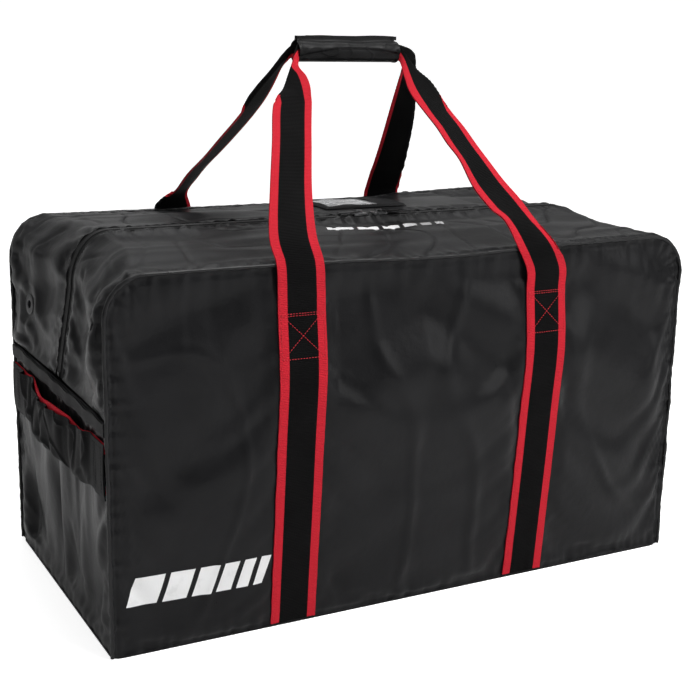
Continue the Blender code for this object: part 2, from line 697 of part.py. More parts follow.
def make_end_handles():
    """Webbing across each end, sewn down at both edges, with a cover round it."""
    low = END_WEB_TOP - WEB_WIDTH
    face = LENGTH / 2 + GAP + WEB_THICK
    for side, sign in (("left", -1.0), ("right", 1.0)):
        pivot = (sign * face, 0.0, END_WEB_TOP)
        y, z = np.meshgrid(np.linspace(-END_FREE, END_FREE, 25), [low, END_WEB_TOP], indexing="ij")
        points = np.stack([sign * (face + bow(y)), y, z], axis=2)
        sheet(f"end_handle_{side}", points, WEB_THICK, BLACK_WEB, pivot=pivot, outward=(sign, 0, 0))
        for end, away in (("front", -1.0), ("back", 1.0)):
            ys = away * np.array([END_FREE + GAP * 2, END_SEWN_EDGE])
            y, z = np.meshgrid(ys, [low, END_WEB_TOP], indexing="ij")
            points = np.stack([np.full_like(y, sign * face), y, z], axis=2)
            sheet(f"end_strap_{side}_{end}", points, WEB_THICK, BLACK_WEB, outward=(sign, 0, 0))
        make_cover(side, sign, face, low, pivot)


def make_cover(side, sign, face, low, pivot):
    """A cover over the webbing's outer face, round its lower edge and up behind it."""
    out = GAP + COVER_THICK
    back = -WEB_THICK - GAP
    section = [(out, COVER_TOP), (out, low + 0.004), (out, low - 0.0030),
               (out - 0.0012, low - 0.0046), (back - COVER_THICK + 0.0012, low - 0.0046),
               (back - COVER_THICK, low - 0.0030), (back - COVER_THICK, low + 0.024)]
    ys = np.linspace(-COVER_HALF, COVER_HALF, 17)
    points = np.array([[(sign * (face + bow(y) + dx), y, z) for dx, z in section] for y in ys])
    sheet(f"end_cover_{side}", points, COVER_THICK, BLACK_CLOTH, pivot=pivot,
          outward=(sign * 0.5, 0, -1.0))


# Name card pocket

def pocket_grid(xs, ys, rise):
    """Points above the back lip's straight stretch, over a rectangle."""
    x, y = np.meshgrid(xs, ys, indexing="ij")
    z = EDGE_HEIGHT + (CROWN_HEIGHT - EDGE_HEIGHT) * (1.0 - (y / (WIDTH / 2)) ** 2) + rise
    return np.stack([x, y, z], axis=2)


def make_pocket():
    """A pocket sewn on the back lip: a frame, a clear sheet in it and the card."""
    ys = np.linspace(*POCKET_Y, 9)
    frame = sheet("pocket_frame", pocket_grid(POCKET_X, ys, POCKET_RISE), POCKET_THICK, BLACK_CLOTH,
                  pivot=BACK_AXIS, outward=(0, 0, 1))
    low = np.array([WINDOW_X[0], WINDOW_Y[0], EDGE_HEIGHT]) - BACK_AXIS
    high = np.array([WINDOW_X[1], WINDOW_Y[1], CROWN_HEIGHT + 2 * POCKET_RISE]) - BACK_AXIS
    with_box(frame, low, high, "window")
    slot_x, slot_y = POCKET_X[0] + SLOT_MARGIN, (POCKET_Y[0] + SLOT_MARGIN, POCKET_Y[1] - SLOT_MARGIN)
    ys = np.linspace(*slot_y, 9)
    slot = sheet("tool_slot", pocket_grid((slot_x, POCKET_X[1] + 0.02), ys, SLOT_RISE), SLOT_THICK,
                 BLACK_TRIM, outward=(0, 0, 1))
    with_tool(frame, slot, "slot")
    ys = np.linspace(WINDOW_Y[0] + WINDOW_GAP, WINDOW_Y[1] - WINDOW_GAP, 7)
    xs = (WINDOW_X[0] + WINDOW_GAP, WINDOW_X[1] - WINDOW_GAP)
    sheet("pocket_window", pocket_grid(xs, ys, POCKET_RISE - WINDOW_DROP), SHEET_THICK, CLEAR_SHEET,
          pivot=BACK_AXIS, outward=(0, 0, 1))
    ys = np.linspace(slot_y[0] + CARD_GAP, slot_y[1] - CARD_GAP, 9)
    sheet("name_card", pocket_grid((slot_x + CARD_GAP, POCKET_X[1] - CARD_INSET), ys, CARD_RISE),
          SHEET_THICK, CARD_GREY, outward=(0, 0, 1))


def main():
    """Build every piece of the bag."""
    clear_scene()
    make_panels()
    make_base()
    make_ends()
    make_gusset()
    make_piping()
    make_zip()
    make_sliders()
    make_strap_runs()
    make_handles()
    make_wrap()
    make_end_handles()
    make_eyelets()
    make_pocket()


main()
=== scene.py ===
"""The looks of the hockey equipment bag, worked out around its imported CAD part.

The bag is a soft box of coated cloth.  Each cloth piece is a surface with two
parameters, settled by a short cloth simulation and then given its seam
puckers.  Webbing, zip, piping and stitching are laid on those surfaces, so
they follow every fold.  Lengths are metres, +Z is up and -Y is the front.
"""

import logging
import math
from dataclasses import dataclass, field
from enum import Enum
from functools import cache
from typing import Callable, Optional, Sequence

import bpy
import numpy as np
from mathutils import Matrix, Vector


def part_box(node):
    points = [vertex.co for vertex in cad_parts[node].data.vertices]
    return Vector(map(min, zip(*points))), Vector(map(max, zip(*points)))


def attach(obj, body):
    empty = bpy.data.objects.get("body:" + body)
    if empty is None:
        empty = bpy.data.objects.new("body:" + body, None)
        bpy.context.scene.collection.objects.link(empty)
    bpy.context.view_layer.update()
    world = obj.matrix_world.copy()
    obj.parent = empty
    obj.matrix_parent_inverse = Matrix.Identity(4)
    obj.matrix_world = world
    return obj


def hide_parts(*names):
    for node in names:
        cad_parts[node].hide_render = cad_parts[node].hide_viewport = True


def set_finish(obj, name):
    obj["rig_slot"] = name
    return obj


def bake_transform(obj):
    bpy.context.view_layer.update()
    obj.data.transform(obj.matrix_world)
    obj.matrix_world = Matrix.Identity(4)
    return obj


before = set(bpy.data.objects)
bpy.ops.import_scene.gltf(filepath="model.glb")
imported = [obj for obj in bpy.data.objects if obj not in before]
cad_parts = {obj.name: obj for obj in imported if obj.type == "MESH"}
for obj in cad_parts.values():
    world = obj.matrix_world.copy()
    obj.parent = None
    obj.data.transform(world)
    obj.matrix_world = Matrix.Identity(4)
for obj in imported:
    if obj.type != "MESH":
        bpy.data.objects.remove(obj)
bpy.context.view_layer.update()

Array = np.ndarray
log = logging.getLogger("bag")


class Side(Enum):
    """The long side of the bag that a piece belongs to; the value is the sign of its Y."""

    FRONT = -1.0
    BACK = 1.0

    @property
    def word(self) -> str:
        """The side's name as the CAD nodes spell it."""
        return self.name.lower()


class End(Enum):
    """The end of the bag that a piece belongs to; the value is the sign of its X."""

    LEFT = -1.0
    RIGHT = 1.0

    @property
    def word(self) -> str:
        """The end's name as the CAD nodes spell it."""
        return self.name.lower()


# Arrays and meshes


@cache
def low(node: str) -> Array:
    """Lowest corner of a CAD node."""
    return np.array(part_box(node)[0])


@cache
def high(node: str) -> Array:
    """Highest corner of a CAD node."""
    return np.array(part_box(node)[1])


def lattice(us: Array, vs: Array) -> list[Array]:
    """Both parameters at every point of a grid whose rows follow the first."""
    return np.meshgrid(us, vs, indexing="ij")


def unit(vectors: Array) -> Array:
    """Vectors scaled to length 1."""
    length = np.linalg.norm(vectors, axis=-1, keepdims=True)
    return vectors / np.maximum(length, 1e-12)


def smooth(t: Array) -> Array:
    """Ease from 0 to 1: 3t^2 - 2t^3 between t = 0 and t = 1, level outside."""
    t = np.clip(t, 0.0, 1.0)
    return t * t * (3.0 - 2.0 * t)


def ripples(u: Array, v: Array, wave: float, seed: int, stretch: float = 1.0, count: int = 22) -> Array:
    """Smooth random height with a spread of about 1.

    The sum of `count` plane waves cos(k.p + phase), in random directions and
    with lengths from 0.7 to 1.5 times `wave`, over the square root of half the
    count.

    Args:
        u: First coordinate of each point, in metres.
        v: Second coordinate, in metres.
        wave: Usual distance from crest to crest.
        seed: Picks the waves.
        stretch: How much longer the folds are along v than along u.
        count: Number of waves.

    Returns:
        The height at each point.
    """
    draw = np.random.default_rng(seed)
    angle = draw.uniform(0.0, math.pi, count)
    length = wave * draw.uniform(0.7, 1.5, count)
    phase = draw.uniform(0.0, 2.0 * math.pi, count)
    ku = 2.0 * math.pi * np.cos(angle) / length
    kv = 2.0 * math.pi * np.sin(angle) / (length * stretch)
    total = np.cos(u[..., None] * ku + v[..., None] * kv + phase).sum(-1)
    return total / math.sqrt(count / 2.0)


def creases(u: Array, v: Array, wave: float, seed: int, stretch: float = 1.0, width: float = 0.35) -> Array:
    """Sharp ridges from 0 to 1 along the lines where random ripples cross zero: exp(-(r / width)^2)."""
    return np.exp(-(ripples(u, v, wave, seed, stretch) / width) ** 2)


def spline(knots: Array, per_span: int) -> Array:
    """Points of the Catmull-Rom curve through the knots, `per_span` to each span."""
    knots = np.asarray(knots, float)
    around = np.vstack([2 * knots[:1] - knots[1:2], knots, 2 * knots[-1:] - knots[-2:-1]])
    a, b, c, d = (around[k:len(around) - 3 + k, None, :] for k in range(4))
    t = (np.arange(per_span) / per_span)[None, :, None]
    curve = 0.5 * (2 * b + (c - a) * t + (2 * a - 5 * b + 4 * c - d) * t ** 2
                   + (3 * b - a - 3 * c + d) * t ** 3)
    return np.vstack([curve.reshape(-1, knots.shape[1]), knots[-1:]])


def run_length(path: Array) -> Array:
    """Distance along a path at each of its points."""
    steps = np.linalg.norm(np.diff(path, axis=0), axis=-1)
    return np.concatenate([[0.0], np.cumsum(steps)])


def cubic(grid: Array, i: Array, j: Array) -> Array:
    """Values of a grid between its points, by Catmull-Rom weights on 4 x 4 neighbours.

    Args:
        grid: Values, (rows, columns, k).
        i: Row of each wanted point, whole or not.
        j: Column of each wanted point.

    Returns:
        The values, with the shape of i and a last axis of k.
    """

    def taps(x: Array, count: int) -> list[tuple[Array, Array]]:
        """The four neighbours' indices along one axis, and their weights."""
        base = np.clip(np.floor(x), 0, count - 2)
        t = x - base
        weights = (-0.5 * t + t * t - 0.5 * t ** 3, 1 - 2.5 * t * t + 1.5 * t ** 3,
                   0.5 * t + 2 * t * t - 1.5 * t ** 3, -0.5 * t * t + 0.5 * t ** 3)
        return [(np.clip(base + k - 1, 0, count - 1).astype(int), w) for k, w in enumerate(weights)]

    total = np.zeros(i.shape + grid.shape[2:])
    for row, row_weight in taps(i, grid.shape[0]):
        for column, column_weight in taps(j, grid.shape[1]):
            total += grid[row, column] * (row_weight * column_weight)[..., None]
    return total


def grid_quads(rows: int, columns: int) -> Array:
    """Corner indices of the quads of a grid of points."""
    i, j = lattice(np.arange(rows - 1), np.arange(columns - 1))
    a = (i * columns + j).ravel()
    return np.stack([a, a + 1, a + columns + 1, a + columns], axis=1)


def grid_normals(points: Array) -> Array:
    """Unit normal of a grid at each point: column direction x row direction."""
    across = np.gradient(points, axis=1)
    along = np.gradient(points, axis=0)
    return unit(np.cross(across, along))


@dataclass
class Mesh:
    """A mesh of quads as arrays: points (n, 3), quads (m, 4) and map coordinates (n, 2)."""

    points: Array
    quads: Array
    uv: Array

    def outward(self) -> "Mesh":
        """The same closed mesh, turned outside out if the volume inside it comes out negative."""
        a, b, c, d = (self.points[self.quads[:, k]] for k in range(4))
        volume = (a * np.cross(b, c)).sum() + (a * np.cross(c, d)).sum()
        return self if volume >= 0.0 else Mesh(self.points, self.quads[:, ::-1], self.uv)

    def __add__(self, other: "Mesh") -> "Mesh":
        """Two meshes as one."""
        return Mesh(np.vstack([self.points, other.points]),
                    np.vstack([self.quads, other.quads + len(self.points)]),
                    np.vstack([self.uv, other.uv]))


def wall(points: Array, uv: Array, thickness: float, keep: Optional[Array] = None,
         reverse_u: float = 0.0) -> Mesh:
    """A closed sheet: a grid, the same grid moved in by the thickness, and a rim round every edge.

    Args:
        points: Outer face, (rows, columns, 3).
        uv: Map coordinates in metres, (rows, columns, 2).
        thickness: How far the inner face lies behind the outer one.
        keep: Which quads are kept, (rows - 1, columns - 1); all of them if None.
        reverse_u: Added to u on the inner face, so that a finish can tell the two faces apart.

    Returns:
        The mesh, with its faces outwards.
    """
    rows, columns = points.shape[:2]
    quads = grid_quads(rows, columns)
    if keep is not None:
        quads = quads[keep.ravel()]
    outer = points.reshape(-1, 3)
    inner = outer - grid_normals(points).reshape(-1, 3) * thickness
    used, quads = np.unique(quads, return_inverse=True)
    quads = quads.reshape(-1, 4)
    outer, inner, flat_uv = outer[used], inner[used], uv.reshape(-1, 2)[used]
    count = len(outer)
    start, end = quads.ravel(), np.roll(quads, -1, axis=1).ravel()
    border = ~np.isin(start * count + end, end * count + start)
    start, end = start[border], end[border]
    rim = np.stack([end, start, start + count, end + count], axis=1)
    return Mesh(np.vstack([outer, inner]), np.vstack([quads, quads[:, ::-1] + count, rim]),
                np.vstack([flat_uv, flat_uv + np.array([reverse_u, 0.0])])).outward()


def facing(points: Array, way: Sequence[float]) -> Array:
    """A grid whose normals look the given way on the whole: its columns are reversed if they don't."""
    return facing_both(points, points, way)[0]


def facing_both(points: Array, uv: Array, way: Sequence[float], judged: slice = slice(None)
                ) -> tuple[Array, Array]:
    """A grid and its map, both with their columns reversed if the judged rows face against the way."""
    good = (grid_normals(points[judged]) @ np.asarray(way, float)).sum() >= 0.0
    return (points, uv) if good else (points[:, ::-1], uv[:, ::-1])


def tube(path: Array, radius: Array | float, sides: int = 10, up: Sequence[float] = (0.0, 0.0, 1.0)) -> Mesh:
    """A round bar along a path, closed at both ends.

    A ring at each point of the path: p + r (n cos a + b sin a), with n and b
    square to the path.

    Args:
        path: Centre line, (n, 3).
        radius: Radius, one for all points or one for each.
        sides: Points in a ring; an even number.
        up: A direction that the path never runs along.

    Returns:
        The mesh, with its faces outwards.
    """
    tangent = unit(np.gradient(path, axis=0))
    side = unit(np.cross(tangent, np.asarray(up, float)))
    normal = np.cross(side, tangent)
    angle = np.arange(sides) * 2.0 * math.pi / sides
    radius = np.broadcast_to(np.asarray(radius, float), (len(path),))
    ring = side[:, None] * np.cos(angle)[None, :, None] + normal[:, None] * np.sin(angle)[None, :, None]
    points = path[:, None] + ring * radius[:, None, None]
    i, j = lattice(np.arange(len(path) - 1), np.arange(sides))
    a, b = (i * sides + j).ravel(), (i * sides + (j + 1) % sides).ravel()
    k = np.arange(sides // 2 - 1)
    cap = np.stack([k, k + 1, sides - 2 - k, sides - 1 - k], axis=1)
    last = (len(path) - 1) * sides
    quads = np.vstack([np.stack([a, b, b + sides, a + sides], axis=1), cap[:, ::-1], cap + last])
    along = np.repeat(run_length(path), sides)
    round_it = np.tile(np.arange(sides) / sides * 0.02, len(path))
    return Mesh(points.reshape(-1, 3), quads, np.stack([along, round_it], axis=1)).outward()


def stitches(path: Array, normals: Array, length: float = 0.0029, gap: float = 0.0012,
             radius: float = 0.00030) -> Mesh:
    """A row of stitches along a path: each a short thread, thick in the middle and pulled in at its ends.

    Args:
        path: The row, (n, 3), on the cloth's surface.
        normals: The cloth's outward direction at each point.
        length: Length of a stitch.
        gap: Cloth between two stitches.
        radius: Half the thread's thickness.

    Returns:
        All the stitches as one mesh.
    """
    run = run_length(path)
    count = max(2, int(run[-1] / (length + gap)))
    places = (np.arange(count) + 0.5) / count * run[-1]

    def spread(values: Array, where: Array) -> Array:
        """Values of the path at the given distances along it."""
        return np.stack([np.interp(where, run, values[:, k]) for k in range(3)], axis=1)

    centre, up = spread(path, places), unit(spread(normals, places))
    ahead = unit(spread(path, places + length / 2) - spread(path, places - length / 2))
    side = np.cross(ahead, up)
    steps = np.array([-0.5, -0.28, 0.28, 0.5]) * length
    swell = np.array([0.35, 1.0, 1.0, 0.35]) * radius
    height = np.array([-0.6, 0.35, 0.35, -0.6]) * radius
    corner = np.array([[1, 0], [0, 1], [-1, 0], [0, -1]], float)
    ring = (side[:, None, None] * corner[None, None, :, :1] + up[:, None, None] * corner[None, None, :, 1:])
    points = (centre[:, None, None] + ahead[:, None, None] * steps[None, :, None, None]
              + up[:, None, None] * height[None, :, None, None] + ring * swell[None, :, None, None])
    i, j = lattice(np.arange(3), np.arange(4))
    a, b = (i * 4 + j).ravel(), (i * 4 + (j + 1) % 4).ravel()
    one = np.vstack([np.stack([a, b, b + 4, a + 4], axis=1), [[3, 2, 1, 0]], [[12, 13, 14, 15]]])
    quads = (one[None] + (np.arange(count) * 16)[:, None, None]).reshape(-1, 4)
    uv = np.repeat(np.stack([places, np.zeros(count)], axis=1), 16, axis=0)
    return Mesh(points.reshape(-1, 3), quads, uv).outward()


def joined(meshes: Sequence[Mesh]) -> Mesh:
    """Several meshes as one."""
    total = meshes[0]
    for mesh in meshes[1:]:
        total = total + mesh
    return total


# Finishes


class Graph:
    """A material's nodes, made one call each."""

    def __init__(self, name: str) -> None:
        """Start an empty material of that name."""
        self.material = bpy.data.materials.new(name)
        self.material.use_nodes = True
        self.tree = self.material.node_tree
        self.tree.nodes.clear()

    def node(self, kind: str, inputs: dict, **settings: object) -> bpy.types.Node:
        """Add a node.

        Args:
            kind: The node's type, without "ShaderNode".
            inputs: Sockets by name or number, each a value or another node's output.
            settings: The node's own properties.

        Returns:
            The node.
        """
        made = self.tree.nodes.new("ShaderNode" + kind)
        for key, value in settings.items():
            setattr(made, key, value)
        for key, value in inputs.items():
            if isinstance(value, bpy.types.NodeSocket):
                self.tree.links.new(value, made.inputs[key])
            else:
                made.inputs[key].default_value = value
        return made

    def place(self) -> bpy.types.NodeSocket:
        """Object coordinates, in metres."""
        return self.node("TexCoord", {}).outputs["Object"]

    def map(self) -> bpy.types.NodeSocket:
        """The piece's own map coordinates, in metres."""
        return self.node("UVMap", {}, uv_map="cut").outputs["UV"]

    def noise(self, where: bpy.types.NodeSocket, scale: float, detail: float = 3.0) -> bpy.types.NodeSocket:
        """Smooth noise from 0 to 1, `scale` features to the metre."""
        found = self.node("TexNoise", {"Vector": where, "Scale": scale, "Detail": detail})
        return found.outputs[0]

    def wave(self, where: bpy.types.NodeSocket, per_metre: float, axis: str) -> bpy.types.NodeSocket:
        """Ribs from 0 to 1 across an axis, `per_metre` ribs to the metre."""
        made = self.node("TexWave", {"Vector": where, "Scale": per_metre / 3.1831, "Distortion": 0.0},
                         bands_direction=axis)
        return made.outputs["Fac"]

    def sum(self, one: object, two: object, how: str = "ADD") -> bpy.types.NodeSocket:
        """Two numbers added, multiplied or otherwise put together."""
        return self.node("Math", {0: one, 1: two}, operation=how).outputs[0]

    def span(self, value: bpy.types.NodeSocket, start: float, end: float, to: tuple[float, float]
             ) -> bpy.types.NodeSocket:
        """A number carried from the range start..end to another range, and held at its ends."""
        return self.node("MapRange", {"Value": value, "From Min": start, "From Max": end,
                                      "To Min": to[0], "To Max": to[1]}).outputs[0]

    def mix(self, share: object, one: object, two: object) -> bpy.types.NodeSocket:
        """One colour turning into another."""
        colours = [(*c, 1.0) if isinstance(c, tuple) and len(c) == 3 else c for c in (one, two)]
        made = self.node("Mix", {0: share, 6: colours[0], 7: colours[1]}, data_type="RGBA")
        return made.outputs[2]

    def bump(self, height: bpy.types.NodeSocket, depth: float, base: Optional[bpy.types.NodeSocket] = None
             ) -> bpy.types.NodeSocket:
        """Surface relief of that depth in metres, on top of another relief."""
        inputs = {"Height": height, "Distance": depth, "Strength": 1.0}
        if base is not None:
            inputs["Normal"] = base
        return self.node("Bump", inputs).outputs[0]

    def shade(self, **inputs: object) -> bpy.types.Material:
        """Close the material with a Principled shader whose sockets are named with _ for a space."""
        named = {key.replace("_", " "): value for key, value in inputs.items()}
        if "Base Color" in named and isinstance(named["Base Color"], tuple):
            named["Base Color"] = (*named["Base Color"], 1.0)
        shader = self.node("BsdfPrincipled", named)
        self.node("OutputMaterial", {"Surface": shader.outputs[0]})
        return self.material


@dataclass(frozen=True)
class Finish:
    """A surface finish: its material's name and the record's slot it stands for."""

    name: str
    slot: str
    colour: tuple[float, float, float]

    def build(self) -> bpy.types.Material:
        """Make the material."""
        raise NotImplementedError

    def material(self) -> bpy.types.Material:
        """The finish's material, made once."""
        return bpy.data.materials.get(self.name) or self.build()


@dataclass(frozen=True)
class CoatedCloth(Finish):
    """Coated polyester: a fine grain over a faint plain weave, with soft satin gloss and scuffs."""

    roughness: tuple[float, float] = (0.27, 0.38)
    gloss: float = 0.15
    weave_pitch: float = 0.0009
    weave_depth: float = 0.000035
    grain_depth: float = 0.00010

    def build(self) -> bpy.types.Material:
        """Height = weave ribs both ways + leather-like grain + soft dents; gloss varies with wear."""
        g = Graph(self.name)
        place, cut = g.place(), g.map()
        warp = g.wave(cut, 1.0 / self.weave_pitch, "X")
        weft = g.wave(cut, 1.0 / self.weave_pitch, "Y")
        weave = g.sum(warp, weft, "MULTIPLY")
        grain = g.noise(place, 620.0, 2.0)
        dents = g.noise(place, 85.0, 3.0)
        wear = g.noise(place, 14.0, 4.0)
        relief = g.bump(dents, 0.00045, g.bump(grain, self.grain_depth, g.bump(weave, self.weave_depth)))
        dull = tuple(min(1.0, c * 1.35 + 0.002) for c in self.colour)
        colour = g.mix(g.span(wear, 0.35, 0.7, (0.0, 1.0)), self.colour, dull)
        rough = g.span(g.sum(g.sum(wear, 0.7, "MULTIPLY"), g.sum(grain, 0.3, "MULTIPLY")),
                       0.3, 0.7, self.roughness)
        return g.shade(Base_Color=colour, Roughness=rough, Normal=relief, Specular_IOR_Level=self.gloss,
                       Sheen_Weight=0.02, Sheen_Roughness=0.5)


@dataclass(frozen=True)
class Webbing(Finish):
    """Woven webbing: a ribbed dark middle and a coloured stripe along each edge."""

    stripe: tuple[float, float, float] = (0.62, 0.022, 0.038)
    half: float = 0.030
    stripe_width: float = 0.0112
    reverse_width: float = 0.0048
    reverse_u: float = 10.0
    rib_pitch: float = 0.0021

    def build(self) -> bpy.types.Material:
        """The map's v is the place across the webbing and u runs along it.

        The stripe begins at half - stripe_width, or half - reverse_width on
        the reverse, whose u is reverse_u further along.  Ribs lie square to
        the length, finer in the stripes.
        """
        g = Graph(self.name)
        cut = g.map()
        split = g.node("SeparateXYZ", {0: cut})
        reverse = g.sum(split.outputs[0], self.reverse_u / 2, "GREATER_THAN")
        narrower = g.sum(reverse, self.stripe_width - self.reverse_width, "MULTIPLY")
        across = g.sum(g.sum(split.outputs[1], 0.0, "ABSOLUTE"), narrower, "SUBTRACT")
        begin = self.half - self.stripe_width
        share = g.span(across, begin - 0.0003, begin + 0.0003, (0.0, 1.0))
        fibre = g.noise(cut, 900.0, 2.0)
        patch = g.noise(g.place(), 22.0, 3.0)
        rib = g.wave(cut, 1.0 / self.rib_pitch, "X")
        warp = g.wave(cut, 1.0 / 0.0013, "Y")
        slanted = g.node("Mapping", {"Vector": cut, "Rotation": (0.0, 0.0, 0.62)}).outputs[0]
        twill = g.wave(slanted, 640.0, "X")
        base = g.mix(g.span(patch, 0.3, 0.7, (0.0, 1.0)), self.colour, tuple(c * 1.7 for c in self.colour))
        base = g.mix(g.span(rib, 0.0, 0.5, (0.55, 0.0)), base, (0.003, 0.003, 0.003))
        dim = tuple(c * 0.82 for c in self.stripe)
        bright = g.mix(g.span(fibre, 0.3, 0.7, (0.0, 1.0)), dim, self.stripe)
        bright = g.mix(g.span(twill, 0.0, 0.45, (0.30, 0.0)), bright, tuple(c * 0.4 for c in self.stripe))
        colour = g.mix(share, base, bright)
        ribbed = g.bump(g.sum(warp, twill, "MULTIPLY"), 0.00012, g.bump(rib, 0.00035))
        relief = g.bump(fibre, 0.00012, ribbed)
        return g.shade(Base_Color=colour, Roughness=g.span(fibre, 0.2, 0.8, (0.62, 0.85)), Normal=relief,
                       Specular_IOR_Level=0.05, Sheen_Weight=0.01, Sheen_Roughness=0.45)


@dataclass(frozen=True)
class Woven(Finish):
    """A narrow woven trim, thread or fuzzy tape: ribs, fibres and sheen."""

    rib_pitch: float = 0.0011
    rib_depth: float = 0.00012
    roughness: float = 0.70
    sheen: float = 0.10

    def build(self) -> bpy.types.Material:
        """Height = ribs along the piece + fibres; colour varies with the fibres."""
        g = Graph(self.name)
        cut, place = g.map(), g.place()
        rib = g.wave(cut, 1.0 / self.rib_pitch, "X")
        fibre = g.noise(place, 1300.0, 3.0)
        patch = g.noise(place, 30.0, 2.0)
        pale = tuple(min(1.0, c * 1.5 + 0.003) for c in self.colour)
        colour = g.mix(g.span(g.sum(fibre, patch), 0.6, 1.4, (0.0, 1.0)), self.colour, pale)
        relief = g.bump(fibre, 0.0001, g.bump(rib, self.rib_depth))
        return g.shade(Base_Color=colour, Normal=relief, Specular_IOR_Level=0.12, Sheen_Weight=self.sheen,
                       Roughness=g.span(fibre, 0.2, 0.8, (self.roughness - 0.1, self.roughness + 0.1)))


@dataclass(frozen=True)
class Moulded(Finish):
    """Moulded plastic: faint mould texture, handling marks and a mild gloss."""

    roughness: float = 0.38

    def build(self) -> bpy.types.Material:
        """Height = fine mould texture; roughness varies with handling."""
        g = Graph(self.name)
        place = g.place()
        fine, marks = g.noise(place, 2600.0, 2.0), g.noise(place, 160.0, 4.0)
        pale = tuple(c * 1.6 + 0.002 for c in self.colour)
        return g.shade(Base_Color=g.mix(g.span(marks, 0.4, 0.75, (0.0, 1.0)), self.colour, pale),
                       Roughness=g.span(marks, 0.3, 0.7, (self.roughness - 0.08, self.roughness + 0.12)),
                       Normal=g.bump(fine, 0.00003), Specular_IOR_Level=0.3)


@dataclass(frozen=True)
class Plated(Finish):
    """Dull plated metal with fine scratches and darker hollows."""

    def build(self) -> bpy.types.Material:
        """Roughness and colour vary with stretched scratches and blotches."""
        g = Graph(self.name)
        place = g.place()
        thin = g.node("Mapping", {"Vector": place, "Scale": (0.12, 1.0, 1.0)}).outputs[0]
        scratch, blotch = g.noise(thin, 3200.0, 3.0), g.noise(place, 260.0, 3.0)
        dark = tuple(c * 0.6 for c in self.colour)
        return g.shade(Base_Color=g.mix(g.span(blotch, 0.35, 0.65, (0.0, 1.0)), dark, self.colour),
                       Metallic=1.0, Normal=g.bump(scratch, 0.00002),
                       Roughness=g.span(scratch, 0.3, 0.7, (0.24, 0.42)))


@dataclass(frozen=True)
class ClearSheet(Finish):
    """Clear soft vinyl with slow waves in it and a little haze."""

    def build(self) -> bpy.types.Material:
        """Mostly see-through, with a smooth gloss broken by waves."""
        g = Graph(self.name)
        wave, haze = g.noise(g.place(), 60.0, 2.0), g.noise(g.place(), 300.0, 3.0)
        return g.shade(Base_Color=self.colour, Roughness=g.span(haze, 0.3, 0.7, (0.06, 0.22)),
                       Alpha=0.22, Normal=g.bump(wave, 0.0018), Specular_IOR_Level=0.6)


@dataclass(frozen=True)
class Printed(Finish):
    """Ink or card stock: flat colour broken by fine pores, rubbed thin in places."""

    roughness: float = 0.5
    rub: float = 0.25

    def build(self) -> bpy.types.Material:
        """Colour darkens where pores and rubbing show, by up to `rub`."""
        g = Graph(self.name)
        place = g.place()
        pore, worn = g.noise(place, 1500.0, 3.0), g.noise(place, 70.0, 5.0)
        share = g.sum(g.span(pore, 0.55, 0.75, (0.0, 0.5)), g.span(worn, 0.55, 0.7, (0.0, 0.6)))
        dark = tuple(c * (1.0 - self.rub) for c in self.colour)
        return g.shade(Base_Color=g.mix(share, self.colour, dark), Normal=g.bump(pore, 0.00003),
                       Roughness=g.span(pore, 0.2, 0.8, (self.roughness - 0.08, self.roughness + 0.1)),
                       Specular_IOR_Level=0.35)


CLOTH = CoatedCloth("coated_cloth_black", "coated_fabric", (0.0050, 0.0050, 0.0056))
GRIP_CLOTH = CoatedCloth("grip_cloth_black", "coated_fabric", (0.0040, 0.0040, 0.0043), (0.34, 0.48), 0.14)
SLEEVE = CoatedCloth("end_sleeve_black", "coated_fabric", (0.0034, 0.0034, 0.0037), (0.50, 0.66), 0.07)
PIPE = Moulded("piping_black", "trim", (0.0045, 0.0045, 0.0050), 0.34)
HEM = Woven("hem_black", "trim", (0.0060, 0.0060, 0.0065), 0.0010, 0.00010, 0.62, 0.02)
WEB = Webbing("webbing_red_edges", "webbing", (0.0028, 0.0027, 0.0028))
RED_THREAD = Woven("thread_red", "webbing", (0.42, 0.016, 0.026), 0.0008, 0.00008, 0.55, 0.10)
BLACK_THREAD = Woven("thread_black", "trim", (0.0070, 0.0070, 0.0075), 0.0008, 0.00008, 0.55, 0.03)
TAPE = Woven("zip_tape_black", "zip_tape", (0.0026, 0.0026, 0.0028), 0.0010, 0.00010, 0.74, 0.01)
FUZZ = Woven("hook_and_loop_black", "hook_and_loop", (0.012, 0.012, 0.012), 0.0013, 0.0003, 0.92, 0.25)
COIL = Moulded("zip_coil_black", "zip_coil", (0.0030, 0.0030, 0.0033), 0.42)
METAL = Plated("slider_nickel", "slider_metal", (0.42, 0.42, 0.43))
PULL = Moulded("pull_black", "pull", (0.014, 0.014, 0.015), 0.40)
EYELET = Moulded("eyelet_black", "eyelet", (0.010, 0.010, 0.011), 0.34)
VINYL = ClearSheet("window_vinyl", "window", (0.88, 0.89, 0.90))
CARD = Printed("card_grey", "card", (0.10, 0.102, 0.107), 0.55, 0.12)
CARD_INK = Printed("card_white_ink", "card", (0.80, 0.80, 0.80), 0.5, 0.10)
INK = Printed("print_white", "coated_fabric", (0.80, 0.80, 0.80), 0.48, 0.16)


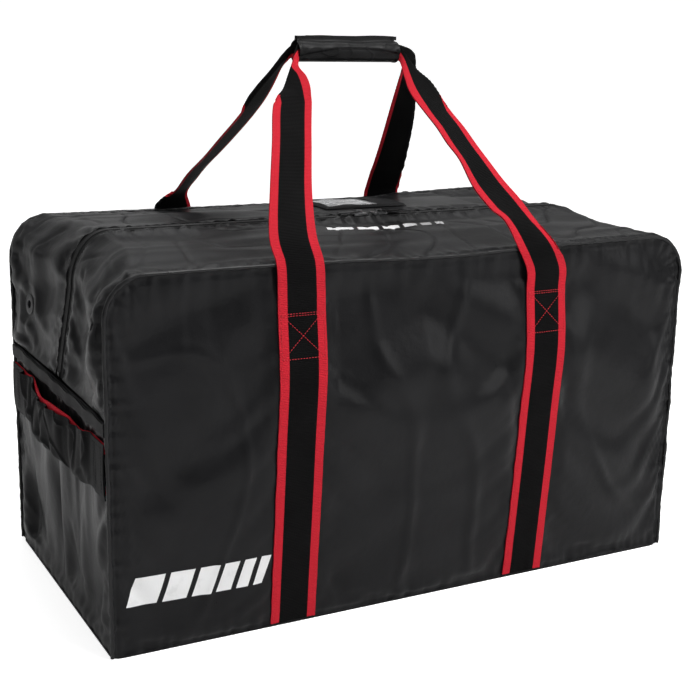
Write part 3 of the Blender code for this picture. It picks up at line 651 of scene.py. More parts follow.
def billow(points: Array) -> Array:
    """How the stuffed top stands above its plan at the back and sags at the front, for any point.

    The lift grows from the zip to the back seam and from 75 mm below the seam
    to the seam, and dies away up the free webbing.  It is level where the
    name card slides.
    """
    x, y, z = points[:, 0], points[:, 1], points[:, 2]
    height = np.interp(x, [-0.40, -0.20, 0.0, 0.10, 0.20, 0.33, 0.41],
                       [0.010, 0.009, 0.0085, 0.010, 0.015, 0.019, 0.012])
    height = np.minimum(height, 0.0085 + 0.35 * np.maximum(y - 0.165, 0.0))
    near_top = smooth((z - 0.372) / 0.07)
    lift = height * smooth((y - 0.02) / 0.15) * near_top
    sag = -0.005 * np.exp(-((x - 0.03) / 0.13) ** 2) * smooth((-y - 0.05) / 0.14) * near_top
    moved = points.copy()
    moved[:, 2] += (lift + sag) * (1.0 - smooth((z - 0.47) / 0.15))
    return moved


def piece(name: str, mesh: Mesh, finish: Finish, sharp: float = 50.0) -> bpy.types.Object:
    """Make an object from a mesh and dress it.

    Args:
        name: The piece's name.
        mesh: Its mesh, in place.
        finish: Its finish, whose slot it takes.
        sharp: Edges over this angle, in degrees, stay sharp.

    Returns:
        The object, at the origin.
    """
    data = bpy.data.meshes.new(name)
    data.vertices.add(len(mesh.points))
    data.vertices.foreach_set("co", billow(mesh.points).astype(np.float32).ravel())
    corners = mesh.quads.ravel()
    data.loops.add(len(corners))
    data.loops.foreach_set("vertex_index", corners.astype(np.int32))
    data.polygons.add(len(mesh.quads))
    data.polygons.foreach_set("loop_start", np.arange(0, len(corners), 4, dtype=np.int32))
    data.update(calc_edges=True)
    data.uv_layers.new(name="cut").data.foreach_set("uv", mesh.uv[corners].astype(np.float32).ravel())
    data.validate()
    data.shade_smooth()
    data.set_sharp_from_angle(angle=math.radians(sharp))
    made = bpy.data.objects.new(name, data)
    bpy.context.scene.collection.objects.link(made)
    data.materials.append(finish.material())
    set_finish(made, finish.slot)
    log.info("%s: %d quads", name, len(mesh.quads))
    return made


# The bag's shape


@dataclass(frozen=True)
class BagShape:
    """The bag's sizes, read from the CAD nodes, and the curves that its cloth follows."""

    length: float = 2.0 * high("end_panel_right")[0]
    pipe: float = 0.0022
    corner: float = 0.050
    bulge: float = 0.014
    ridge: float = 0.0065
    ridge_height: float = 0.318
    ridge_spread: float = 0.058
    end_sink: float = 0.022
    hem_sink: float = 0.004
    tuck: float = 0.0012
    tape_outer: float = 0.0137
    web_thick: float = 0.0018
    gap: float = 0.0003

    @property
    def width(self) -> float:
        """Distance between the front and back seams."""
        return high("piping_back")[1] + low("piping_back")[1]

    @property
    def edge(self) -> float:
        """Height of the top seams."""
        return high("piping_front")[2] - self.pipe

    @property
    def crown(self) -> float:
        """Height of the cloth along the zip."""
        return high("slider_left")[2] - 0.0068

    @property
    def shoulder(self) -> float:
        """Height where the top corners begin."""
        return self.edge - self.corner

    @property
    def hem_top(self) -> float:
        """Top of the end panels' hems."""
        return high("end_hem_right")[2]

    @property
    def floor_gap(self) -> float:
        """Height of the upright panels' lower edges."""
        return low("front_panel")[2]

    def belly(self, x: Array, z: Array) -> Array:
        """How far a long panel stands out: bulge (1 - (2x/L)^2) sin(pi (z/H)^1.3), and a soft ridge."""
        across = 1.0 - (2.0 * x / self.length) ** 2
        upward = np.sin(math.pi * np.clip(z / self.edge, 0.0, 1.0) ** 1.3)
        ridge = self.ridge * np.exp(-((z - self.ridge_height) / self.ridge_spread) ** 2)
        return across * (self.bulge * upward + ridge * smooth((self.edge - z) / 0.06))

    def panel_top(self, x: Array) -> Array:
        """Height of a long panel's upper edge: level, with a quarter circle at each corner."""
        radius = self.corner - self.tuck
        past = np.maximum(np.abs(x) - (self.length / 2 - self.corner), 0.0)
        return self.shoulder + np.sqrt(np.maximum(radius ** 2 - past ** 2, 0.0))

    def side_run(self) -> float:
        """Length of the gusset's upright stretch, from the hem to the corner."""
        return self.shoulder - self.hem_top

    def arc_run(self) -> float:
        """Length round a top corner, along the seam."""
        return math.pi / 2 * self.corner

    def half_run(self) -> float:
        """Length of the seam from the hem to the middle of the top."""
        return self.side_run() + self.arc_run() + self.length / 2 - self.corner

    def gusset_line(self, run: Array, half_low: float, half_high: float, rise: float) -> tuple[Array, Array]:
        """A line up an end, round the corner and in to the middle of the top.

        Upright from half_low to half_high, then a quarter ellipse, corner by
        rise, then level.

        Args:
            run: Distance along the seam from the hem.
            half_low: X at the hem.
            half_high: X at the shoulder.
            rise: Height of the corner's ellipse.

        Returns:
            X and Z of each point, on the right-hand end.
        """
        up = np.clip(run / self.side_run(), 0.0, 1.0)
        turn = np.clip((run - self.side_run()) / self.arc_run(), 0.0, 1.0) * math.pi / 2
        flat = self.length / 2 - self.corner
        level = np.clip((run - self.side_run() - self.arc_run()) / flat, 0.0, 1.0)
        top_half = half_high - self.corner
        x = half_low + (half_high - half_low) * up - self.corner * (1.0 - np.cos(turn)) - top_half * level
        z = self.hem_top + self.side_run() * up + rise * np.sin(turn)
        return x, z


BAG = BagShape()


@dataclass(frozen=True)
class Settling:
    """A short cloth simulation: a held sheet, cut a little large, settles under its weight and some air."""

    frames: int = 14
    slack: float = 0.010
    pressure: float = 0.25
    bending: float = 0.6
    limit: float = 0.006
    seed_height: float = 0.0006
    seed_wave: float = 9.0
    quality: int = 5
    mass: float = 0.25
    drag: float = 2.0
    tension: float = 14.0
    shear: float = 6.0

    def run(self, points: Array, held: Array, seed: int) -> Array:
        """Settle a grid.

        Args:
            points: The cloth before it settles, (rows, columns, 3).
            held: How firmly each point is held, from 0 to 1.
            seed: Picks the slight unevenness that the folds start from.

        Returns:
            How far each point moved, at most `limit`.
        """
        rows, columns = points.shape[:2]
        i, j = lattice(np.arange(rows), np.arange(columns))
        free = np.clip(1.0 - held, 0.0, 1.0)
        rough = grid_normals(points) * (ripples(i, j, self.seed_wave, seed) * free * self.seed_height)[..., None]
        start = points + rough
        mesh = Mesh(start.reshape(-1, 3), grid_quads(rows, columns), np.zeros((rows * columns, 2)))
        cloth = piece("settling", mesh, CLOTH)
        group = cloth.vertex_groups.new(name="held")
        levels = np.round(held.ravel(), 1)
        for level in np.unique(levels[levels > 0.0]):
            group.add(np.flatnonzero(levels == level).tolist(), float(level), "REPLACE")
        modifier = cloth.modifiers.new("cloth", "CLOTH")
        settings = modifier.settings
        settings.quality = self.quality
        settings.mass = self.mass
        settings.air_damping = self.drag
        settings.tension_stiffness = settings.compression_stiffness = self.tension
        settings.shear_stiffness = self.shear
        settings.bending_stiffness = self.bending
        settings.vertex_group_mass = "held"
        settings.shrink_min = -self.slack
        settings.use_pressure = True
        settings.uniform_pressure_force = self.pressure
        modifier.collision_settings.use_collision = False
        scene = bpy.context.scene
        modifier.point_cache.frame_end = self.frames
        for number in range(1, self.frames + 1):
            scene.frame_set(number)
        settled = cloth.evaluated_get(bpy.context.evaluated_depsgraph_get())
        found = np.zeros(rows * columns * 3, np.float32)
        settled.data.vertices.foreach_get("co", found)
        scene.frame_set(1)
        data = cloth.data
        bpy.data.objects.remove(cloth)
        bpy.data.meshes.remove(data)
        before = billow(points.reshape(-1, 3)).reshape(points.shape)
        moved = found.reshape(points.shape).astype(float) - before
        far = np.linalg.norm(moved, axis=-1, keepdims=True)
        capped = self.limit * np.tanh(far / self.limit) / np.maximum(far, 1e-9)
        return moved * capped * (free > 0)[..., None]


@dataclass
class ClothPiece:
    """A panel of cloth: a surface with two parameters, how it settled, and its fine folds."""

    u_knots: Array
    v_knots: Array
    way: tuple[float, float, float]
    settling: Settling = Settling()
    seed: int = 1
    moved: Optional[Array] = None

    def base(self, u: Array, v: Array) -> Array:
        """The cloth's surface before it settles."""
        raise NotImplementedError

    def detail(self, u: Array, v: Array) -> Array:
        """Height of puckers and fine folds above the settled surface."""
        raise NotImplementedError

    def held(self, u: Array, v: Array) -> Array:
        """Where the cloth is held while it settles: 1 for sewn, 0 for free."""
        raise NotImplementedError

    def settle(self) -> None:
        u, v = lattice(self.u_knots, self.v_knots)
        points = self.base(u, v)
        good = (grid_normals(points) @ np.array(self.way)).sum() >= 0.0
        order = slice(None, None, 1 if good else -1)
        self.moved = self.settling.run(points[:, order], self.held(u, v)[:, order], self.seed)[:, order]
        log.info("settled %s: moved up to %.1f mm", type(self).__name__,
                 1000.0 * np.linalg.norm(self.moved, axis=-1).max())

    def normal(self, u: Array, v: Array) -> Array:
        """Outward unit normal of the settled surface, from its slopes over 1.5 mm each way."""
        step_u, step_v = 0.0015, 0.0015 * self.v_scale()
        along = self.shaped(u + step_u, v) - self.shaped(u - step_u, v)
        across = self.shaped(u, v + step_v) - self.shaped(u, v - step_v)
        normal = unit(np.cross(along, across))
        return normal * np.sign((normal @ np.array(self.way)).sum())

    def v_scale(self) -> float:
        """Size of the second parameter for each metre of cloth."""
        return 1.0

    def shaped(self, u: Array, v: Array) -> Array:
        """The settled surface without its fine folds."""
        points = self.base(u, v)
        if self.moved is not None:
            i = np.interp(u, self.u_knots, np.arange(len(self.u_knots)))
            j = np.interp(v, self.v_knots, np.arange(len(self.v_knots)))
            points = points + cubic(self.moved, i, j)
        return points

    def at(self, u: Array, v: Array, lift: Array | float = 0.0) -> Array:
        """The finished surface, or a surface that much above it."""
        height = self.detail(u, v) + lift
        return self.shaped(u, v) + self.normal(u, v) * height[..., None]

    def sheet(self, us: Array, vs: Array, thickness: float, lift: float = 0.0,
              hole: Optional[Callable[[Array], Array]] = None) -> Mesh:
        """The piece as a closed sheet over the given parameters.

        Args:
            us: First parameters, in order.
            vs: Second parameters, in order.
            thickness: The cloth's thickness.
            lift: Height of the outer face above the surface.
            hole: Says of the middle of each quad whether it is cut away.

        Returns:
            The mesh.
        """
        u, v = lattice(us, vs)
        points = self.at(u, v, lift)
        uv = np.stack([u, v / self.v_scale()], axis=-1)
        points, uv = facing_both(points, uv, self.way)
        keep = None
        if hole is not None:
            middle = (points[:-1, :-1] + points[1:, :-1] + points[:-1, 1:] + points[1:, 1:]) / 4.0
            keep = ~hole(middle)
        return wall(points, uv, thickness, keep)

    def row(self, us: Array, vs: Array, lift: float = 0.0) -> Mesh:
        """A row of stitches on the piece, along the given parameters."""
        us, vs = np.broadcast_arrays(np.asarray(us, float), np.asarray(vs, float))
        return stitches(self.at(us, vs, lift), self.normal(us, vs))


@dataclass
class LongPanel(ClothPiece):
    """The front or back panel.  u is X as seen from outside, v is the share of the height."""

    side: Side = Side.FRONT

    def v_scale(self) -> float:
        """Shares of the height for each metre."""
        return 1.0 / BAG.edge

    def share(self, x: Array, z: Array) -> Array:
        """The second parameter of the point at a height."""
        return (z - BAG.floor_gap) / (BAG.panel_top(x) - BAG.floor_gap)

    def height(self, u: Array, v: Array) -> Array:
        """The height of a point."""
        return BAG.floor_gap + (BAG.panel_top(u) - BAG.floor_gap) * v

    def base(self, u: Array, v: Array) -> Array:
        """A flat sheet with the belly added; the back panel is the front one turned half round."""
        z = self.height(u, v)
        y = -(BAG.width / 2 + BAG.belly(u, z))
        turn = -self.side.value
        return np.stack([turn * u, turn * y, z], axis=-1)

    def border(self, u: Array, v: Array) -> tuple[Array, Array]:
        """Distance from the nearest seam, and the place along that seam."""
        z = self.height(u, v)
        side, top = BAG.length / 2 - np.abs(u), BAG.edge - z
        in_corner = (side < BAG.corner) & (top < BAG.corner)
        reach = np.hypot(BAG.corner - side, BAG.corner - top)
        turn = np.arctan2(BAG.corner - top, BAG.corner - side) * BAG.corner
        distance = np.where(in_corner, BAG.corner - reach, np.minimum(side, np.minimum(top, z)))
        by_side = (side <= top) & (side <= z)
        along_top = BAG.edge + 0.03 + BAG.length / 2 - np.abs(u)
        along = np.where(by_side, z, np.where(top < z, along_top, 2.0 + u))
        along = np.where(in_corner, BAG.shoulder + turn, along)
        return np.maximum(distance, 0.0), along + np.sign(u) * 4.0

    def detail(self, u: Array, v: Array) -> Array:
        """Seam puckers that die away over 14 mm, and slack folds that fan in from the top corners."""
        distance, along = self.border(u, v)
        z = self.height(u, v)
        pucker = 0.0011 * ripples(along, distance, 0.016, self.seed + 10, 6.0)
        rise = smooth(distance / 0.004) * np.exp(-distance / 0.014)
        seam_dip = -0.0010 * np.exp(-((distance - 0.0065) / 0.0022) ** 2)
        lean = z + 0.55 * np.abs(u)
        slack = 0.0038 * ripples(lean, u * 0.4, 0.120, self.seed + 20, 2.6)
        crumple = 0.0024 * creases(u, z, 0.19, self.seed + 30, 1.7, 0.22)
        middle = smooth(distance / 0.05) * self.beside_straps(u, z)
        return pucker * rise + seam_dip + (slack + crumple) * middle

    def beside_straps(self, u: Array, z: Array) -> Array:
        """1 away from the sewn straps and 0 under them, over 20 mm."""
        from_strap = np.abs(np.abs(u) - Carry.strap_x) - Carry.half
        return np.maximum(smooth(from_strap / 0.02), smooth((z - Carry.strap_top) / 0.02))

    def held(self, u: Array, v: Array) -> Array:
        """Held at the seams and under the straps."""
        distance, _ = self.border(u, v)
        z = self.height(u, v)
        return np.where((distance < 0.006) | (self.beside_straps(u, z) <= 0.02), 1.0, 0.0)


@dataclass
class Gusset(ClothPiece):
    """Half of the gusset, from one hem over the top to the other.

    u is the distance along the seam from the middle of the top, negative to
    the left, and v is the distance across from the seam.
    """

    side: Side = Side.FRONT

    def run(self, u: Array) -> Array:
        """Distance along the seam from the hem."""
        return BAG.half_run() - np.abs(u)

    def base(self, u: Array, v: Array) -> Array:
        """Seam line + (zip line - seam line) (1 - (y / half width)^2), so it is level along the zip."""
        run, end = self.run(u), np.where(u < 0.0, -1.0, 1.0)
        half = BAG.length / 2
        seam_x, seam_z = BAG.gusset_line(run, half, half, BAG.corner)
        zip_x, zip_z = BAG.gusset_line(run, half - BAG.hem_sink, half - BAG.end_sink,
                                       BAG.crown - BAG.shoulder)
        y = BAG.width / 2 - v
        weight = 1.0 - (y / (BAG.width / 2)) ** 2
        x = end * (seam_x + (zip_x - seam_x) * weight)
        z = seam_z + (zip_z - seam_z) * weight
        return np.stack([x, self.side.value * y, z], axis=-1)

    def normal(self, u: Array, v: Array) -> Array:
        """Outward normal: its Z or its outward X is positive."""
        along = self.shaped(u + 0.0015, v) - self.shaped(u - 0.0015, v)
        across = self.shaped(u, v + 0.0015) - self.shaped(u, v - 0.0015)
        return unit(np.cross(along, across)) * -self.side.value

    def calm(self, u: Array, v: Array) -> Array:
        """1 on open cloth, 0 along the seams and under what is fixed to it: the pocket and an eyelet."""
        y, run = BAG.width / 2 - v, self.run(u)
        zip_free = smooth((y - BAG.tape_outer) / 0.018)
        free = zip_free * smooth(v / 0.012) * smooth(run / 0.012)
        if self.side is Side.BACK:
            over_x = np.maximum(POCKET.x[0] - 0.012 - u, u - POCKET.x[1] - 0.012 - POCKET.card_travel)
            over_y = np.maximum(POCKET.y[0] - 0.010 - y, y - POCKET.y[1] - 0.010)
            free = free * smooth(np.maximum(over_x, over_y) / 0.02)
            centre = self.base(np.where(u < 0, -1.0, 1.0) * (BAG.half_run() - EYELETS.run()),
                               np.full_like(v, BAG.width / 2 - EYELETS.y()))
            away = np.linalg.norm(self.base(u, v) - centre, axis=-1)
            free = free * smooth((away - 0.014) / 0.016)
        return free

    def detail(self, u: Array, v: Array) -> Array:
        """A roll beside the seam, folds that run with it, drag lines from the zip, and puckers."""
        run = self.run(u)
        on_end = smooth((BAG.side_run() + 0.6 * BAG.arc_run() - run) / 0.06)
        open_cloth = self.calm(u, v)
        roll = (0.0030 + 0.0040 * on_end) * (v / 0.022) * np.exp(1.0 - v / 0.022)
        folds = ripples(v, u, 0.062, self.seed + 11, 4.0) * (0.0012 + 0.0016 * on_end)
        crumple = creases(v, u, 0.17, self.seed + 12, 2.2, 0.26) * (0.0012 + 0.0006 * on_end)
        drag = -0.0014 * creases(u, v, 0.11, self.seed + 13, 1.4, 0.16) * (1.0 - on_end)
        from_zip = BAG.width / 2 - v - BAG.tape_outer
        zip_pucker = 0.0007 * ripples(u, v, 0.015, self.seed + 14, 5.0) * np.exp(-from_zip / 0.012)
        seam_pucker = 0.0010 * ripples(u, v, 0.017, self.seed + 15, 5.0) * np.exp(-v / 0.014)
        edge = smooth(v / 0.004)
        return (roll + folds + crumple + drag) * open_cloth + (zip_pucker + seam_pucker) * edge

    def held(self, u: Array, v: Array) -> Array:
        """Held at the seam, the zip, the hems, and under what is sewn on."""
        return np.where(self.calm(u, v) < 0.08, 1.0, 0.0)


@dataclass
class EndPanel(ClothPiece):
    """The lower panel of one end.  u is Y and v is Z."""

    end: End = End.LEFT

    def base(self, u: Array, v: Array) -> Array:
        """Flat between its seams, sunk by up to 5 mm a third of the way up."""
        across = 1.0 - (2.0 * u / BAG.width) ** 2
        sink = 0.005 * across * np.sin(math.pi * np.clip(v / (BAG.hem_top - 0.03), 0.0, 1.0))
        return np.stack([self.end.value * (BAG.length / 2 - sink), u, v], axis=-1)

    def detail(self, u: Array, v: Array) -> Array:
        """Upright slack folds that only go inwards, and puckers at the seams."""
        side = BAG.width / 2 - np.abs(u)
        open_cloth = smooth(side / 0.03) * smooth(v / 0.05) * smooth((BAG.hem_top - 0.012 - v) / 0.03)
        fan = u * (1.0 + 0.9 * (BAG.hem_top - v))
        folds = -0.0030 * (0.9 + ripples(fan, v, 0.070, self.seed + 16, 4.5))
        crumple = -0.0022 * creases(fan, v, 0.20, self.seed + 17, 2.4, 0.30)
        near = np.minimum(side, v)
        along = np.where(side < v, v, u + 1.0)
        pucker = 0.0005 * ripples(along, near, 0.022, self.seed + 18, 5.0) * np.exp(-near / 0.013)
        seam = (pucker - 0.0009 * np.exp(-near / 0.02)) * smooth(near / 0.004)
        return (folds + crumple) * open_cloth + seam

    def held(self, u: Array, v: Array) -> Array:
        """Held at the seams, the base and the hem."""
        side = BAG.width / 2 - np.abs(u)
        return np.where((side < 0.008) | (v < 0.012) | (v > BAG.hem_top - 0.022), 1.0, 0.0)


@dataclass
class BasePanel(ClothPiece):
    """The base.  u is X and v is Y."""

    def base(self, u: Array, v: Array) -> Array:
        """Flat on the ground."""
        return np.stack([u, v, np.zeros_like(u)], axis=-1)

    def detail(self, u: Array, v: Array) -> Array:
        """Shallow slack lines, all of them above the ground."""
        inside = smooth((BAG.length / 2 - np.abs(u)) / 0.05) * smooth((BAG.width / 2 - np.abs(v)) / 0.05)
        return -0.0012 * creases(u, v, 0.16, self.seed, 1.5, 0.25) * inside

    def held(self, u: Array, v: Array) -> Array:
        """The whole base lies on the ground."""
        return np.ones_like(u)


def sine_spread(half: float, count: int, share: float = 0.85) -> Array:
    """Places from -half to half that crowd towards both ends: a blend of even and sine spacing."""
    t = np.linspace(-1.0, 1.0, count)
    return half * ((1.0 - share) * t + share * np.sin(math.pi / 2 * t))


def mouth_fold(made: bpy.types.Object) -> bpy.types.Object:
    """Bake a gusset piece's transform into its mesh.

    Args:
        made: The piece.

    Returns:
        The piece.
    """
    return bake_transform(made)


# Sub-assemblies


@dataclass(frozen=True)
class EyeletPlace:
    """Where the eyelets go through the back half of each end."""

    hole: float = 0.0085

    def y(self) -> float:
        """Y of both eyelets' middles."""
        return float(low("eyelet_right")[1] + high("eyelet_right")[1]) / 2.0

    def run(self) -> float:
        """Distance of their middles above the hem, along the gusset."""
        return float(low("eyelet_right")[2] + high("eyelet_right")[2]) / 2.0 - BAG.hem_top

    def cut(self, middle: Array) -> Array:
        """Which quads an eyelet's hole takes away: those whose middles lie within it."""
        found = np.zeros(middle.shape[:-1], bool)
        for end in End:
            node = f"eyelet_{end.word}"
            centre = (low(node) + high(node)) / 2.0
            found |= np.linalg.norm(middle - centre, axis=-1) < self.hole
        return found


EYELETS = EyeletPlace()


@dataclass
class Body:
    """The cloth body: two long panels, the gusset's halves, the ends, the base, hems and piping."""

    cloth: float = 0.0014
    hem_height: float = 0.018
    hem_thick: float = 0.0014
    base_thick: float = 0.0024
    base_corner: float = 0.012
    zip_row: float = 0.0035
    seam_row: float = 0.0075
    panels: dict[Side, LongPanel] = field(default_factory=dict)
    gussets: dict[Side, Gusset] = field(default_factory=dict)
    ends: dict[End, EndPanel] = field(default_factory=dict)

    def settle(self) -> None:
        """Lay out every cloth piece and let it settle."""
        half = BAG.length / 2 - BAG.tuck
        for side in Side:
            way = (0.0, side.value, 0.0)
            self.panels[side] = LongPanel(sine_spread(half, 92), np.linspace(0.0, 1.0, 50), way,
                                          Settling(slack=0.003, pressure=0.12, limit=0.0035),
                                          seed=3 if side is Side.FRONT else 31, side=side)
            self.gussets[side] = Gusset(np.linspace(-BAG.half_run(), BAG.half_run(), 110),
                                        np.linspace(BAG.tuck, BAG.width / 2 - BAG.tape_outer, 24),
                                        (0.0, 0.0, 1.0),
                                        Settling(slack=0.012, pressure=0.15, limit=0.0055),
                                        seed=5 if side is Side.FRONT else 51, side=side)
        for end in End:
            self.ends[end] = EndPanel(np.linspace(BAG.tuck - BAG.width / 2, BAG.width / 2 - BAG.tuck, 46),
                                      np.linspace(BAG.floor_gap, BAG.hem_top, 34),
                                      (end.value, 0.0, 0.0),
                                      Settling(slack=0.010, pressure=-0.2, limit=0.004),
                                      seed=7 if end is End.LEFT else 71, end=end)
        for cloth in (*self.panels.values(), *self.gussets.values(), *self.ends.values()):
            cloth.settle()

    def build(self) -> None:
        """Make every piece of the body."""
        for side in Side:
            self.long_panel(side)
            self.piping(side)
            for end in End:
                self.gusset(side, end)
        for end in End:
            self.end_panel(end)
        self.base()

    def long_panel(self, side: Side) -> None:
        """A long panel."""
        panel = self.panels[side]
        us = sine_spread(BAG.length / 2 - BAG.tuck, 250)
        vs = np.linspace(0.0, 1.0, 140)
        made = piece(f"{side.word}_cloth", panel.sheet(us, vs, self.cloth), CLOTH)
        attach(made, "shell")
        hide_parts(f"{side.word}_panel")

    def seam_path(self) -> Array:
        """X and Z of a long panel's edge: up one side, round the top and down the other."""
        run = np.linspace(-BAG.half_run(), BAG.half_run(), 260)
        half = BAG.length / 2
        x, z = BAG.gusset_line(BAG.half_run() - np.abs(run), half, half, BAG.corner)
        x = np.where(run < 0.0, -x, x)
        below = np.linspace(BAG.floor_gap, BAG.hem_top, 70)[:-1]
        left = np.stack([np.full_like(below, -half), below], axis=1)
        right = left[::-1] * np.array([-1.0, 1.0])
        return np.vstack([left, np.stack([x, z], axis=1), right])

    def piping(self, side: Side) -> None:
        """Piping round a long panel, slightly uneven, as cloth drawn over a cord is."""
        line = self.seam_path()
        run = run_length(line)
        radius = BAG.pipe + 0.00022 * ripples(run, run * 0.0, 0.013, 61) + 0.00015
        wander = 0.0006 * ripples(run, run * 0.0, 0.060, 62)
        y = side.value * (BAG.width / 2 + wander)
        bar = tube(np.stack([line[:, 0], y, line[:, 1]], axis=1), radius, 12, (0.0, 1.0, 0.0))
        made = piece(f"{side.word}_piping", bar, PIPE)
        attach(made, "shell")
        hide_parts(f"piping_{side.word}")

    def gusset(self, side: Side, end: End) -> None:
        """One end's part of a gusset half."""
        cloth = self.gussets[side]
        us = np.linspace(-BAG.half_run(), 0.0, 200)
        us = us if end is End.LEFT else -us[::-1]
        vs = np.linspace(BAG.tuck, BAG.width / 2 - BAG.tape_outer, 70)
        hole = EYELETS.cut if side is Side.BACK else None
        sheet = cloth.sheet(us, vs, self.cloth, hole=hole)
        made = piece(f"gusset_cloth_{end.word}_{side.word}", sheet, CLOTH)
        mouth_fold(made)
        nodes = [f"gusset_{end.word}_{side.word}"]
        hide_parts(*(nodes + ([f"lip_{side.word}"] if end is End.LEFT else [])))
        self.gusset_stitching(cloth, side, end)

    def gusset_stitching(self, cloth: Gusset, side: Side, end: End) -> None:
        """Stitch rows along the seam and along the zip."""
        us = np.linspace(0.002, BAG.half_run() - 0.003, 300) * end.value
        zip_edge = BAG.width / 2 - BAG.tape_outer
        rows = joined([cloth.row(us, zip_edge - self.zip_row), cloth.row(us, self.seam_row)])
        made = piece(f"gusset_stitching_{end.word}_{side.word}", rows, BLACK_THREAD)
        mouth_fold(made)

    def end_panel(self, end: End) -> None:
        """An end's lower panel, with the hem across its top and the hem's two rows of stitches."""
        cloth = self.ends[end]
        us = np.linspace(BAG.tuck - BAG.width / 2, BAG.width / 2 - BAG.tuck, 140)
        vs = np.linspace(BAG.floor_gap, BAG.hem_top - 0.001, 110)
        made = piece(f"end_cloth_{end.word}", cloth.sheet(us, vs, self.cloth), CLOTH)
        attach(made, "shell")
        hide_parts(f"end_panel_{end.word}")
        face = BAG.gap + self.hem_thick
        vs = np.linspace(BAG.hem_top - self.hem_height, BAG.hem_top, 14)
        u, v = lattice(us, vs)
        roll = np.sin(math.pi * (v - vs[0]) / self.hem_height) ** 0.5 * 0.0007
        wave = 0.0009 * ripples(u, v * 0.0, 0.055, 63) * smooth((BAG.width / 2 - np.abs(u)) / 0.03)
        x = end.value * (BAG.length / 2 + face + roll + np.maximum(wave, -0.0008))
        drift = 0.0012 * ripples(u, u * 0.0, 0.09, 64) * smooth((BAG.width / 2 - np.abs(u)) / 0.03)
        points = facing(np.stack([x, u, v + drift], axis=-1), (end.value, 0.0, 0.0))
        hem = piece(f"hem_{end.word}", wall(points, np.stack([u, v], axis=-1), self.hem_thick), HEM)
        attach(hem, "shell")
        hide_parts(f"end_hem_{end.word}")
        rows = []
        for column in (2, 11):
            line = points[:, column]
            rows.append(stitches(line, np.broadcast_to([end.value, 0.0, 0.0], line.shape)))
        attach(piece(f"hem_stitching_{end.word}", joined(rows), BLACK_THREAD), "shell")

    def base(self) -> None:
        """The base: a flat sheet whose corners are cut round by pressing the grid inwards."""
        cloth = BasePanel(np.array([0.0, 1.0]), np.array([0.0, 1.0]), (0.0, 0.0, -1.0), seed=9)
        s, t = lattice(np.linspace(-1.0, 1.0, 120), np.linspace(-1.0, 1.0, 70))
        corner = self.base_corner
        half_x, half_y = BAG.length / 2, BAG.width / 2
        x, y = s * half_x, t * half_y
        past_x = np.maximum(np.abs(x) - (half_x - corner), 0.0) / corner
        past_y = np.maximum(np.abs(y) - (half_y - corner), 0.0) / corner
        pull = np.maximum(past_x, past_y) / np.maximum(np.hypot(past_x, past_y), 1e-9)
        pull = np.where((past_x > 0) & (past_y > 0), pull, 1.0)
        x = np.sign(x) * (np.minimum(np.abs(x), half_x - corner) + past_x * corner * pull)
        y = np.sign(y) * (np.minimum(np.abs(y), half_y - corner) + past_y * corner * pull)
        points = cloth.at(x, y)
        points[..., 2] = np.maximum(points[..., 2], 0.0)
        points = facing(points, (0.0, 0.0, -1.0))
        made = piece("base_cloth", wall(points, points[..., :2], self.base_thick), CLOTH)
        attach(made, "shell")
        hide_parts("base_panel")


